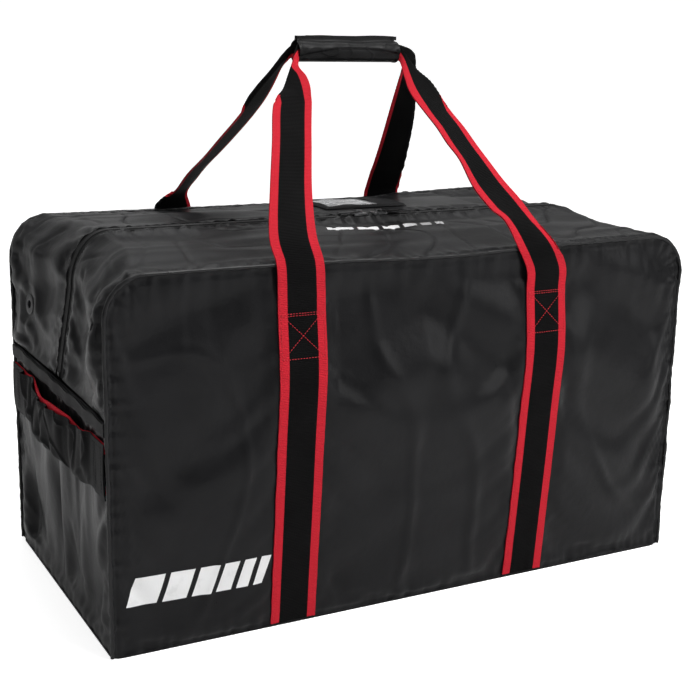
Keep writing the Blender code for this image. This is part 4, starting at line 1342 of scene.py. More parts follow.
@dataclass(frozen=True)
class Zip:
    """The zip round the gusset: tape, a coil of ribs on each half, and the fittings that run on it."""

    tape_under: float = 0.0152
    tape_inner: float = 0.0030
    tape_drop: float = 0.0009
    coil_inner: float = 0.00035
    coil_outer: float = 0.0036
    coil_rise: float = 0.0009
    coil_foot: float = 0.0006
    pitch: float = 0.0027
    tape_thick: float = 0.0010
    coil_thick: float = 0.0012
    stop_gap: float = 0.004

    def build(self, gussets: dict[Side, Gusset]) -> None:
        """Both tapes and coils, in the gusset's four quarters."""
        for side in Side:
            for end in End:
                self.tape(gussets[side], side, end)
                self.coil(gussets[side], side, end)

    def tape(self, cloth: Gusset, side: Side, end: End) -> None:
        """A flat woven tape, tucked under the gusset's folded edge."""
        us = np.linspace(0.0, BAG.half_run() - 0.0005, 240) * end.value
        vs = BAG.width / 2 - np.linspace(self.tape_under, self.tape_inner, 8)
        u, v = lattice(us, vs)
        points = cloth.base(u, v) + cloth.normal(u, v) * -self.tape_drop
        points = points if end is End.LEFT else points[::-1]
        points = facing(points, (end.value * 0.3, 0.0, 1.0))
        sheet = wall(points, np.stack([u, v], axis=-1), self.tape_thick)
        made = piece(f"zip_tape_{end.word}_{side.word}", sheet, TAPE)
        mouth_fold(made)
        nodes = [f"zip_end_tape_{end.word}_{side.word}"]
        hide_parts(*(nodes + ([f"zip_tape_{side.word}"] if end is End.LEFT else [])))

    def coil(self, cloth: Gusset, side: Side, end: End) -> None:
        """Half a coil: a half-round bead whose height and edge rise and fall once for each turn."""
        length = BAG.half_run() - self.stop_gap
        us = np.linspace(0.0, length, int(length / self.pitch) * 4)
        shift = 0.5 if side is Side.BACK else 0.0
        turn = np.sin(math.pi * (us / self.pitch + shift)) ** 2
        across = np.linspace(0.0, 1.0, 9)
        swell = 0.55 + 0.45 * turn
        reach = self.coil_inner + (self.coil_outer - self.coil_inner) * across
        reach = reach[None, :] * np.ones_like(us)[:, None]
        arch = np.sin(math.pi * np.clip(0.08 + 0.84 * across, 0.0, 1.0))[None, :]
        height = -self.coil_foot + (self.coil_rise + self.coil_foot) * arch * swell[:, None]
        u, v = np.broadcast_to(us[:, None] * end.value, reach.shape), BAG.width / 2 - reach
        points = cloth.base(u, v) + cloth.normal(u, v) * height[..., None]
        points = facing(points, (end.value * 0.3, 0.0, 1.0))
        bead = wall(points, np.stack([u, v], axis=-1), self.coil_thick)
        made = piece(f"zip_coil_{end.word}_{side.word}", bead, COIL, 70.0)
        mouth_fold(made)
        nodes = [f"zip_coil_{side.word}"] if end is End.LEFT else []
        if side is Side.FRONT:
            nodes.append(f"zip_end_coil_{end.word}")
        if nodes:
            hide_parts(*nodes)


# Outer and inner edge of each run of free webbing, from above the top seam up to the grip
FREE_RUNS: dict[tuple[Side, End], tuple[list, list]] = {
    (Side.FRONT, End.LEFT): (
        [(-0.2018, -0.1899, 0.4784), (-0.1817, -0.1482, 0.5281), (-0.1588, -0.1030, 0.5796),
         (-0.1407, -0.0674, 0.6197), (-0.1185, -0.0450, 0.6361), (-0.1054, -0.0315, 0.6525),
         (-0.0967, -0.0229, 0.6644)],
        [(-0.1420, -0.1884, 0.4794), (-0.1228, -0.1380, 0.5254), (-0.1005, -0.0902, 0.5759),
         (-0.0826, -0.0536, 0.6166), (-0.0789, -0.0442, 0.6371), (-0.0799, -0.0330, 0.6507),
         (-0.0871, -0.0248, 0.6614)]),
    (Side.FRONT, End.RIGHT): (
        [(0.1749, -0.1771, 0.4806), (0.1641, -0.1602, 0.5028), (0.1511, -0.1355, 0.5264),
         (0.1394, -0.1026, 0.5568), (0.1285, -0.0797, 0.5836), (0.1176, -0.0562, 0.6089),
         (0.0993, -0.0402, 0.6420), (0.0833, -0.0249, 0.6613)],
        [(0.1181, -0.1954, 0.4832), (0.1071, -0.1774, 0.4973), (0.0955, -0.1568, 0.5207),
         (0.0881, -0.1331, 0.5520), (0.0797, -0.1125, 0.5729), (0.0712, -0.0919, 0.5970),
         (0.0610, -0.0517, 0.6280), (0.0600, -0.0345, 0.6488)]),
    (Side.BACK, End.LEFT): (
        [(-0.1917, 0.1834, 0.4640), (-0.1829, 0.1626, 0.4811), (-0.1716, 0.1325, 0.5142),
         (-0.1532, 0.0970, 0.5525), (-0.1341, 0.0567, 0.5962), (-0.1137, 0.0310, 0.6350),
         (-0.0976, 0.0170, 0.6608)],
        [(-0.1476, 0.2116, 0.4700), (-0.1367, 0.1980, 0.4950), (-0.1240, 0.1667, 0.5258),
         (-0.1061, 0.1322, 0.5634), (-0.0872, 0.0915, 0.6095), (-0.0845, 0.0538, 0.6436),
         (-0.0810, 0.0308, 0.6648)]),
    (Side.BACK, End.RIGHT): (
        [(0.1900, 0.1880, 0.4780), (0.1500, 0.0900, 0.5850), (0.1140, 0.0270, 0.6580),
         (0.0990, 0.0135, 0.6800)],
        [(0.1320, 0.1880, 0.4780), (0.1070, 0.0960, 0.5790), (0.0920, 0.0380, 0.6410),
         (0.0860, 0.0170, 0.6610)]),
}


@dataclass
class Carry:
    """A carry loop: webbing sewn up a long panel, free over the top, and down the panel again.

    The free webbing runs between an outer and an inner edge.  Where they come
    closer than the webbing is wide, its outer part is folded behind the rest, as seen from the front.
    """

    side: Side = Side.FRONT
    foot: float = 0.0045
    grip_height: float = 0.680
    grip_start: tuple[float, float] = (-0.081, 0.068)
    grip_web: float = 0.019
    setback: float = 0.0062
    hinge: float = 0.3922
    stiffness: float = 0.55

    strap_x = float(low("strap_front_right")[0] + high("strap_front_right")[0]) / 2.0
    half = float(high("strap_front_right")[0] - low("strap_front_right")[0]) / 2.0
    strap_top = float(high("strap_front_right")[2])

    def centre(self, end: End, z: Array) -> Array:
        """X of a sewn run's middle: upright at the back, a little askew at the front."""
        askew = {End.LEFT: (-0.005, 0.0), End.RIGHT: (-0.005, 0.005)}[end]
        if self.side is Side.BACK:
            askew = (0.0, 0.0)
        return end.value * self.strap_x + askew[0] + (askew[1] - askew[0]) * z / self.strap_top

    def edges(self, end: End, start: Array) -> tuple[Array, Array]:
        """Knots of the outer and inner edge of one run of free webbing, up to the middle of the grip.

        Args:
            end: Which run.
            start: The middle of the webbing where it comes free.

        Returns:
            The two rows of knots.
        """
        out = self.side.value
        clear = out * (BAG.width / 2 + BAG.pipe + BAG.web_thick + 2 * BAG.gap)
        grip = out * (self.setback + BAG.web_thick / 2)
        mouth = self.grip_start[0 if end is End.LEFT else 1]
        found = []
        for run, way, level in zip(FREE_RUNS[self.side, end], (1.0, -1.0), (1.0, -1.0)):
            x = start[0] + end.value * way * self.half
            first_x = (x + run[0][0]) / 2.0
            top = self.grip_height + level * self.grip_web / 2
            knots = [(x, start[1], start[2]), (x, (start[1] + clear) / 2 + out * 0.0006, start[2] + 0.028),
                     (first_x, clear, BAG.edge + 0.003), *run,
                     (mouth - end.value * 0.003, grip, top), (mouth - end.value * 0.018, grip, top),
                     (0.0, grip, top)]
            found.append(np.array(knots))
        return found[0], found[1]

    def sewn(self, panel: LongPanel, end: End, z: Array, across: Array, lift: float) -> Array:
        """Webbing sewn to the panel: being stiff, it follows its own middle more than halfway."""
        middle = self.centre(end, z)
        way = -self.side.value
        x = middle - end.value * across
        points = panel.at(way * x, panel.share(x, z), lift)
        level = panel.at(way * middle, panel.share(middle, z), lift)
        points[..., 1] += self.stiffness * (level[..., 1] - points[..., 1]) + self.side.value * 0.0004
        return points

    def free(self, across: Array, starts: dict[End, Array]) -> Array:
        """The free webbing: along each chord from the inner edge, and folded back at the outer edge.

        With c the chord and a the distance from the inner edge along the
        webbing, a point lies at c - (sqrt((a - c)^2 + r^2) - r) from the inner
        edge, and the part of the webbing past the fold lies behind the rest.
        """
        left, right = self.edges(End.LEFT, starts[End.LEFT]), self.edges(End.RIGHT, starts[End.RIGHT])
        outer, inner = (spline(np.vstack([one, other[::-1][1:]]), 12) for one, other in zip(left, right))
        chord = outer - inner
        width = np.linalg.norm(chord, axis=1)[:, None]
        fold = np.clip((2 * self.half - 0.0008 - width) / 0.008, 0.0, 1.0)
        ahead = unit(np.gradient((outer + inner) / 2.0, axis=0))
        back = unit(np.cross(chord, ahead))
        distance = (self.half - across)[None, :] * np.where(fold > 0, 1.0, width / (2 * self.half))
        past = distance - width
        squeeze = np.minimum(1.0, 0.86 * width / np.maximum(2 * self.half - width, 1e-6))
        radius = 0.0014 * fold
        bent = np.where(past > 0.0, past * squeeze, past)
        from_inner = width - (np.sqrt(bent ** 2 + radius ** 2) - radius)
        depth = (BAG.web_thick + 0.0009) * smooth(past / 0.0035 + 0.5) * fold
        points = inner[:, None] + unit(chord)[:, None] * from_inner[..., None]
        points = points + back[:, None] * depth[..., None]
        share = np.linspace(0.0, 1.0, len(outer))[:, None]
        beside_grip = smooth(np.abs(share - 0.5) / 0.1 - 0.6)
        loose = np.sin(math.pi * np.clip((share - 0.06) / 0.88, 0.0, 1.0)) * beside_grip
        sway = 0.0011 * ripples(share * 1.1, across[None, :] + share * 0.0, 0.09, 81)
        return points + back[:, None] * (sway * loose)[..., None]

    def path(self, panel: LongPanel, across: Array) -> Array:
        """The whole loop as a grid, from the left foot to the right one."""
        lift = BAG.gap + BAG.web_thick
        z, a = lattice(np.linspace(self.foot, self.strap_top, 90), across)
        sewn = {end: self.sewn(panel, end, z, a, lift) for end in End}
        middle = len(across) // 2
        lead = np.array([0.0, 0.0, BAG.gap])
        free = self.free(across, {end: sewn[end][-1, middle] + lead for end in End})
        steps = np.arange(len(free))
        for end, nearest, first in ((End.LEFT, steps, 0), (End.RIGHT, steps[::-1], -1)):
            fade = 1.0 - smooth(nearest / 20.0)
            free = free + (sewn[end][-1] + lead - free[first])[None] * fade[:, None, None]
        return np.vstack([sewn[End.LEFT], free, sewn[End.RIGHT][::-1]])

    def build(self, panel: LongPanel) -> None:
        """The webbing, its edge stitching and its box stitches."""
        across = np.linspace(-self.half, self.half, 25)
        points = self.path(panel, across)
        u = np.repeat(run_length(points[:, 12])[:, None], len(across), axis=1)
        uv = np.stack([u, np.broadcast_to(across, u.shape)], axis=-1)
        points, uv = facing_both(points, uv, (0.0, self.side.value, 0.0), slice(80))
        word = self.side.word
        made = piece(f"webbing_{word}", wall(points, uv, BAG.web_thick, reverse_u=WEB.reverse_u), WEB)
        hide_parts(f"strap_{word}_left", f"strap_{word}_right", f"handle_{word}")
        self.hang(made)
        normals = grid_normals(points)
        rows = [stitches(points[2:-2, column], normals[2:-2, column], 0.0034, 0.0016, 0.00028)
                for column in (1, len(across) - 2)]
        self.hang(piece(f"webbing_stitching_{word}", joined(rows), RED_THREAD))
        self.box_stitching(panel)

    def hang(self, made: bpy.types.Object) -> None:
        """Bake a piece's transform into its mesh."""
        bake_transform(made)

    def box_stitching(self, panel: LongPanel) -> None:
        """On each run: a box with a cross in it below the hinge, its top row doubled."""
        top, bottom, half = self.strap_top - 0.002, self.strap_top - 0.054, self.half - 0.0030
        corners = {"tl": (-half, top), "tr": (half, top), "bl": (-half, bottom), "br": (half, bottom)}
        lines = [("tl", "tr"), ("tr", "br"), ("br", "bl"), ("bl", "tl"), ("tl", "br"), ("tr", "bl")]
        spans = [(corners[a], corners[b]) for a, b in lines]
        spans.append(((-half, top - 0.0024), (half, top - 0.0024)))
        t, rows = np.linspace(0.0, 1.0, 24), []
        for end in End:
            for (a0, z0), (a1, z1) in spans:
                line = self.sewn(panel, end, z0 + (z1 - z0) * t, a0 + (a1 - a0) * t,
                                 BAG.gap + BAG.web_thick + 0.0001)
                normals = np.broadcast_to([0.0, self.side.value, 0.0], line.shape)
                rows.append(stitches(line, normals, 0.0026, 0.0009, 0.00040))
        self.hang(piece(f"box_stitching_{self.side.word}", joined(rows), RED_THREAD))


@dataclass(frozen=True)
class Wrap:
    """The hand grip's wrap: two padded leaves, each sewn to its own carry loop and closed by a fin."""

    depth: float = 0.0150
    rise: float = 0.0131
    thick: float = 0.0016
    half: float = 0.0728
    centre: float = 0.6795
    fin_offset: float = 0.0036
    shift: float = -0.0082

    def section(self, count: int = 34) -> tuple[Array, Array]:
        """Y and Z of the front leaf's section: half an oval from below, then a fin straight up.

        Returns:
            The points (y, z), and how far each one belongs to the fin.
        """
        angle = np.radians(np.linspace(-89.0, 60.0, count))
        y, z = -self.depth * np.cos(angle), self.centre + self.rise * np.sin(angle)
        fin_z = np.linspace(self.centre + self.rise * 0.93, high("wrap_front")[2] - 0.0004, 12)
        fin_y = -self.fin_offset - 0.0022 * np.exp(-(fin_z - fin_z[0]) / 0.0016)
        share = np.concatenate([np.zeros(count), smooth(np.arange(12) / 3.0)])
        return np.stack([np.append(y, fin_y), np.append(z, fin_z)], axis=1), share

    def build(self) -> None:
        """Both leaves and their stitching."""
        section, fin = self.section()
        for side in Side:
            self.leaf(side, section, fin)

    def leaf(self, side: Side, section: Array, fin: Array) -> None:
        """One leaf: the section along X, pinched, creased and rolled at its ends."""
        xs = np.linspace(-1.0, 1.0, 130)
        s, _ = lattice(xs, section[:, 0])
        x = s * (self.half - 0.0012 * fin[None, :]) + self.shift - 0.0030 * fin[None, :] * (s > 0.0) * s
        y = np.broadcast_to(section[:, 0], s.shape)
        z = np.broadcast_to(section[:, 1], s.shape)
        points = np.stack([x, y, z], axis=-1)
        around = np.broadcast_to(run_length(section), s.shape)
        normal = grid_normals(points)
        normal = normal * np.sign(-(normal[..., 1]).sum())
        arch = self.centre + 0.0065 - 0.0085 * (x / self.half) ** 2
        body = 1.0 - fin[None, :]
        hollow = -0.0024 * smooth((arch - z) / 0.003) * smooth((z - self.centre + 0.012) / 0.008)
        crumple = 0.0006 * creases(x, around, 0.050, 91 + int(side.value), 0.7, 0.30)
        ripple = 0.0006 * ripples(x, around, 0.045, 93 + int(side.value), 0.8)
        lower = smooth((z - self.centre + self.rise) / 0.004)
        hem = 0.0006 * smooth((np.abs(s) - 0.93) / 0.03)
        height = (hollow + (crumple + ripple) * smooth((1.0 - np.abs(s)) / 0.06)) * body * lower + hem
        fin_wave = 0.0004 * ripples(x, around, 0.05, 95) * fin[None, :]
        points = points + normal * height[..., None] + np.array([0.0, 0.0, 1.0]) * fin_wave[..., None]
        points = points * np.array([1.0, -side.value, 1.0])
        uv = np.stack([x, around], axis=-1)
        points, uv = facing_both(points, uv, (0.0, side.value, 0.0))
        made = piece(f"grip_leaf_{side.word}", wall(points, uv, self.thick), GRIP_CLOTH)
        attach(made, f"carry_{side.word}")
        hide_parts(f"wrap_{side.word}")
        normals = grid_normals(points)
        rows = [stitches(points[3:-3, column], normals[3:-3, column], 0.0026, 0.0012, 0.00022)
                for column in (3, points.shape[1] - 4)]
        rows = rows[:1] if points[0, 3, 2] > points[0, -4, 2] else rows[1:]
        rows += [stitches(points[k, 3:-3], normals[k, 3:-3], 0.0026, 0.0012, 0.00022) for k in (4, -5)]
        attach(piece(f"grip_stitching_{side.word}", joined(rows), BLACK_THREAD), f"carry_{side.word}")


@dataclass(frozen=True)
class EndHandle:
    """A handle across an end: webbing sewn at both seams, with a cloth sleeve round its lower part."""

    end: End = End.LEFT
    top: float = 0.259
    free: float = 0.162
    sewn: float = 0.2005
    bow: float = 0.0095
    sleeve_top: float = 0.0060
    sleeve_thick: float = 0.0012

    def stand_off(self, y: Array) -> Array:
        """How far the webbing stands off the end: bow cos^2 over its free length, with slack waves."""
        reach = np.clip(np.abs(y) / (self.free - 0.004), 0.0, 1.0)
        arch = np.cos(math.pi / 2 * reach) ** 2
        wave = 0.0026 * ripples(y, y * 0.0, 0.085, 101) * np.sin(math.pi * np.clip(arch, 0.0, 1.0)) ** 0.6
        return self.bow * arch + np.maximum(wave, -0.45 * self.bow * arch)

    def height_wave(self, y: Array) -> Array:
        """How the webbing's edge rises and falls along it."""
        free = smooth((self.free - np.abs(y)) / 0.04)
        return 0.0020 * ripples(y, y * 0.0, 0.11, 102) * free

    def build(self) -> None:
        """The webbing in two halves, the sleeve, and the stitching at both seams."""
        face = BAG.length / 2 + BAG.gap + BAG.web_thick
        for side in Side:
            self.webbing(side, face)
            self.sleeve(side, face)

    def hang(self, made: bpy.types.Object, side: Side) -> None:
        """Bake a half of the handle's transform into its mesh."""
        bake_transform(made)

    def webbing(self, side: Side, face: float) -> None:
        """Half of the webbing, from its sewn end to the middle."""
        ys = np.linspace(0.0, self.sewn - 0.003, 110) * side.value
        across = np.linspace(-0.5, 0.5, 19) * 2 * Carry.half
        y, a = lattice(ys, across)
        lean = 0.10 * self.stand_off(y) * (a / Carry.half)
        x = self.end.value * (face + self.stand_off(y) + np.maximum(lean, -0.0008))
        z = self.top - Carry.half + a + self.height_wave(y)
        points, uv = np.stack([x, y, z], axis=-1), np.stack([y, a], axis=-1)
        points, uv = facing_both(points, uv, (self.end.value, 0.0, 0.0))
        word = f"{self.end.word}_{side.word}"
        made = piece(f"end_webbing_{word}", wall(points, uv, BAG.web_thick), WEB)
        nodes = [f"end_strap_{word}"] + ([f"end_handle_{self.end.word}"] if side is Side.FRONT else [])
        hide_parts(*nodes)
        self.hang(made, side)
        rows = []
        for place in (self.free + 0.006, self.free + 0.012, self.sewn - 0.006):
            z_line = np.linspace(self.top - 2 * Carry.half + 0.002, self.top - 0.002, 30)
            line = np.stack([np.full_like(z_line, self.end.value * (face + 0.0030)),
                             np.full_like(z_line, side.value * place), z_line], axis=1)
            outward = np.broadcast_to([self.end.value, 0.0, 0.0], line.shape)
            rows.append(stitches(line, outward, 0.0028, 0.0010, 0.0003))
        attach(piece(f"end_webbing_stitching_{word}", joined(rows), BLACK_THREAD), "shell")

    def sleeve(self, side: Side, face: float) -> None:
        """Half of the sleeve: down the outer face, round the lower edge and up behind, with slack folds."""
        bottom = self.top - 2 * Carry.half
        out, back = 0.0016, -BAG.web_thick - 0.0006
        rise = np.array([self.top + 0.0002, bottom + 0.040, bottom + 0.020, bottom + 0.004])
        outer = np.stack([np.array([out, out + 0.0010, out + 0.0012, out + 0.0006]), rise], axis=1)
        under = np.array([(0.0010, bottom - 0.0034), (back / 2, bottom - 0.0052),
                          (back - 0.0008, bottom - 0.0032)])
        behind = np.array([(back - 0.0010, bottom + 0.006), (back - 0.0008, bottom + 0.024)])
        section = spline(np.vstack([outer, under, behind]), 7)
        ys = np.linspace(0.0, self.sewn, 130) * side.value
        y, dx = lattice(ys, section[:, 0])
        _, z = lattice(ys, section[:, 1])
        up = np.clip((z - bottom) / (2 * Carry.half), 0.0, 1.0)
        on_face = np.broadcast_to(smooth(np.arange(len(section))[::-1] / len(section) * 2.4 - 0.7), y.shape)
        inside = smooth((self.free - np.abs(y)) / 0.03)
        pressed = smooth((np.abs(y) - self.free + 0.010) / 0.012)
        dx = dx * (1.0 - pressed * (dx < 0.0))
        folds = 0.0020 * (0.6 + ripples(y, z, 0.034, 103, 3.5)) * on_face * inside
        crumple = 0.0022 * creases(y, z, 0.060, 104, 1.6, 0.2) * on_face * inside
        lean = np.maximum(0.10 * self.stand_off(y) * (2.0 * up - 1.0), -0.0008)
        x = self.end.value * (face + self.stand_off(y) + lean + dx + np.maximum(folds + crumple, -0.0004))
        droop = self.height_wave(y) + 0.0022 * ripples(y, y * 0.0, 0.045, 105) * inside
        bared = self.sleeve_top * np.exp(-(y / 0.065) ** 2) * smooth((up - 0.7) / 0.3)
        points = np.stack([x, y, z + droop - bared], axis=-1)
        uv = np.stack([y, np.broadcast_to(run_length(section), y.shape)], axis=-1)
        if (grid_normals(points)[:, :12] @ np.array([self.end.value, 0.0, 0.0])).sum() < 0.0:
            points, uv = points[::-1], uv[::-1]
        word = f"{self.end.word}_{side.word}"
        made = piece(f"end_sleeve_{word}", wall(points, uv, self.sleeve_thick), SLEEVE)
        if side is Side.FRONT:
            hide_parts(f"end_cover_{self.end.word}")
        self.hang(made, side)
        normals = grid_normals(points)
        row = stitches(points[2:-2, 2], normals[2:-2, 2])
        self.hang(piece(f"end_sleeve_stitching_{word}", row, BLACK_THREAD), side)


@dataclass(frozen=True)
class Pocket:
    """The name card pocket on the back lip: bound cloth with a clear window, and the card behind it."""

    x: tuple[float, float] = (-0.004, 0.122)
    y: tuple[float, float] = (0.056, 0.168)
    window_x: tuple[float, float] = (0.008, 0.084)
    window_y: tuple[float, float] = (0.070, 0.154)
    rise: float = 0.0034
    card_travel: float = 0.115
    card_lift: float = 0.0018
    card_thick: float = 0.0005
    ink_lift: float = 0.00186
    ink_thick: float = 0.00008
    frame_thick: float = 0.0010
    window_thick: float = 0.0004

    def surface(self, x: Array, y: Array, lift: Array | float) -> Array:
        """Points above the back lip: its height is edge + (crown - edge)(1 - (y / half width)^2)."""
        z = BAG.edge + (BAG.crown - BAG.edge) * (1.0 - (y / (BAG.width / 2)) ** 2) + lift
        return np.stack([x, y, z], axis=-1)

    def build(self) -> None:
        """The cloth frame, the window, the card and its print."""
        self.cloth_frame()
        self.window()
        self.card()

    def cloth_frame(self) -> None:
        """A bound frame: raised along its outer edge and round the window, with stitches beside both."""
        x, y = lattice(np.linspace(*self.x, 110), np.linspace(*self.y, 100))
        from_edge = np.minimum(np.minimum(x - self.x[0], self.x[1] - x),
                               np.minimum(y - self.y[0], self.y[1] - y))
        past_x = np.maximum(self.window_x[0] - x, x - self.window_x[1])
        past_y = np.maximum(self.window_y[0] - y, y - self.window_y[1])
        from_window = np.maximum(past_x, past_y)
        bound = 0.0007 * np.exp(-((from_edge - 0.0025) / 0.0022) ** 2)
        bound += 0.0006 * np.exp(-((from_window - 0.0025) / 0.0022) ** 2)
        drop = -0.0022 * (1.0 - smooth(from_edge / 0.003))
        wave = 0.0005 * ripples(x, y, 0.05, 111) * smooth(from_edge / 0.01)
        points = self.surface(x, y, self.rise + bound + drop + wave)
        uv = np.stack([x, y], axis=-1)
        points, uv = facing_both(points, uv, (0.0, 0.0, 1.0))

        def in_window(middle: Array) -> Array:
            """Which quads the window takes away."""
            return ((middle[..., 0] > self.window_x[0]) & (middle[..., 0] < self.window_x[1])
                    & (middle[..., 1] > self.window_y[0]) & (middle[..., 1] < self.window_y[1]))

        middle = (points[:-1, :-1] + points[1:, 1:]) / 2.0
        made = piece("card_pocket", wall(points, uv, self.frame_thick, ~in_window(middle)), HEM)
        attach(made, "mouth_back")
        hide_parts("pocket_frame")
        rows = [self.outline(self.x, self.y, -0.0050), self.outline(self.window_x, self.window_y, 0.0045)]
        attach(piece("card_pocket_stitching", joined(rows), BLACK_THREAD), "mouth_back")

    def outline(self, xs: tuple[float, float], ys: tuple[float, float], grow: float) -> Mesh:
        """Stitches round a rectangle, that much outside it."""
        x0, x1, y0, y1 = xs[0] - grow, xs[1] + grow, ys[0] - grow, ys[1] + grow
        corners = np.array([(x0, y0), (x1, y0), (x1, y1), (x0, y1), (x0, y0)])
        rows = []
        for a, b in zip(corners[:-1], corners[1:]):
            line = a + (b - a) * np.linspace(0.02, 0.98, 40)[:, None]
            points = self.surface(line[:, 0], line[:, 1], self.rise + 0.0003)
            upward = np.broadcast_to([0.0, 0.0, 1.0], points.shape)
            rows.append(stitches(points, upward, 0.0026, 0.0012, 0.00024))
        return joined(rows)

    def window(self) -> None:
        """The clear sheet, a little wavy."""
        margin = 0.0012
        xs = np.linspace(self.window_x[0] - margin, self.window_x[1] + margin, 60)
        ys = np.linspace(self.window_y[0] - margin, self.window_y[1] + margin, 60)
        x, y = lattice(xs, ys)
        inside = np.minimum(np.minimum(x - self.window_x[0], self.window_x[1] - x),
                            np.minimum(y - self.window_y[0], self.window_y[1] - y))
        lift = self.rise - 0.0005 + 0.0009 * ripples(x, y, 0.045, 112) * smooth(inside / 0.012)
        points = facing(self.surface(x, y, np.maximum(lift, 0.0026)), (0.0, 0.0, 1.0))
        made = piece("card_window", wall(points, np.stack([x, y], axis=-1), self.window_thick), VINYL)
        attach(made, "mouth_back")
        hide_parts("pocket_window")

    def card(self) -> None:
        """The card, and the outlines of the blank boxes printed on it."""
        first, last = low("name_card"), high("name_card")
        xs, ys = np.linspace(first[0], last[0], 50), np.linspace(first[1], last[1], 40)
        x, y = lattice(xs, ys)
        points = facing(self.surface(x, y, self.card_lift), (0.0, 0.0, 1.0))
        made = piece("card", wall(points, np.stack([x, y], axis=-1), self.card_thick), CARD)
        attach(made, "name_card")
        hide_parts("name_card")
        boxes = [((0.030, 0.078), (0.126, 0.148)), ((0.030, 0.078), (0.100, 0.120)),
                 ((0.014, 0.024), (0.100, 0.148)), ((0.030, 0.078), (0.076, 0.094))]
        rows = [self.printed_box(xs, ys) for xs, ys in boxes]
        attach(piece("card_boxes", joined(rows), CARD_INK), "name_card")

    def printed_box(self, xs: tuple[float, float], ys: tuple[float, float], line: float = 0.0026) -> Mesh:
        """A printed rectangle: four thin bars of ink just above the card."""
        bars = [((xs[0], xs[1]), (ys[0], ys[0] + line)), ((xs[0], xs[1]), (ys[1] - line, ys[1])),
                ((xs[0], xs[0] + line), (ys[0] + line, ys[1] - line)),
                ((xs[1] - line, xs[1]), (ys[0] + line, ys[1] - line))]
        meshes = []
        for bar_x, bar_y in bars:
            x, y = lattice(np.linspace(*bar_x, 12), np.linspace(*bar_y, 6))
            points = facing(self.surface(x, y, self.ink_lift), (0.0, 0.0, 1.0))
            meshes.append(wall(points, np.stack([x, y], axis=-1), self.ink_thick))
        return joined(meshes)


POCKET = Pocket()


@dataclass(frozen=True)
class SpeedBars:
    """A printed mark of plain slanted bars, each narrower than the last, which stands for no name."""

    count: int = 6
    slant: float = 0.36
    ink: float = 0.00010
    ink_gap: float = 0.00025

    def bars(self, length: float, height: float) -> list[tuple[float, float]]:
        """Start and width of each bar: widths fall by a fifth each time, with even gaps."""
        widths = 0.80 ** np.arange(self.count)
        gap = 0.30 * widths.mean()
        scale = (length - self.slant * height) / (widths.sum() + gap * (self.count - 1))
        starts = np.concatenate([[0.0], np.cumsum(widths + gap)[:-1]]) * scale
        return list(zip(starts, widths * scale))

    def mark(self, length: float, height: float, on: Callable[[Array, Array], Array],
             way: Sequence[float]) -> Mesh:
        """The bars laid on a surface.

        Args:
            length: Length of the whole mark.
            height: Height of the bars.
            on: Gives points a little above the surface, from the distance along the mark and up it.
            way: The way the surface faces.

        Returns:
            The mesh.
        """
        meshes = []
        for start, width in self.bars(length, height):
            s, t = lattice(np.linspace(0.0, width, 16), np.linspace(0.0, height, 24))
            along = start + s + self.slant * t
            points = facing(on(along, t), way)
            meshes.append(wall(points, np.stack([along, t], axis=-1), self.ink))
        return joined(meshes)

    def build(self, body: Body) -> None:
        """The mark on the front panel, and a slimmer one beside the zip."""
        panel, lip = body.panels[Side.FRONT], body.gussets[Side.FRONT]

        def on_panel(along: Array, up: Array) -> Array:
            """Points on the lower left of the front panel."""
            x, z = along - 0.386, up + 0.063
            return panel.at(x, panel.share(x, z), self.ink + self.ink_gap)

        def on_lip(along: Array, up: Array) -> Array:
            """Points on the front lip, beside the zip."""
            x, y = along - 0.068, 0.067 - up
            return lip.at(x, BAG.width / 2 - y, self.ink + self.ink_gap)

        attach(piece("mark_front", self.mark(0.180, 0.034, on_panel, (0.0, -1.0, 0.0)), INK), "shell")
        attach(piece("mark_top", self.mark(0.190, 0.014, on_lip, (0.0, 0.0, 1.0)), INK), "mouth_front")


def dress_fittings() -> None:
    """Give the hard fittings that keep their CAD shape their finishes."""
    finishes = {"slider": METAL, "pull": PULL, "zip_stop": COIL, "eyelet": EYELET, "wrap_hook": FUZZ,
                "wrap_loop": FUZZ}
    for name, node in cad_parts.items():
        for start, finish in finishes.items():
            if name.startswith(start):
                node.material_slots[0].material = finish.material()


# The studio


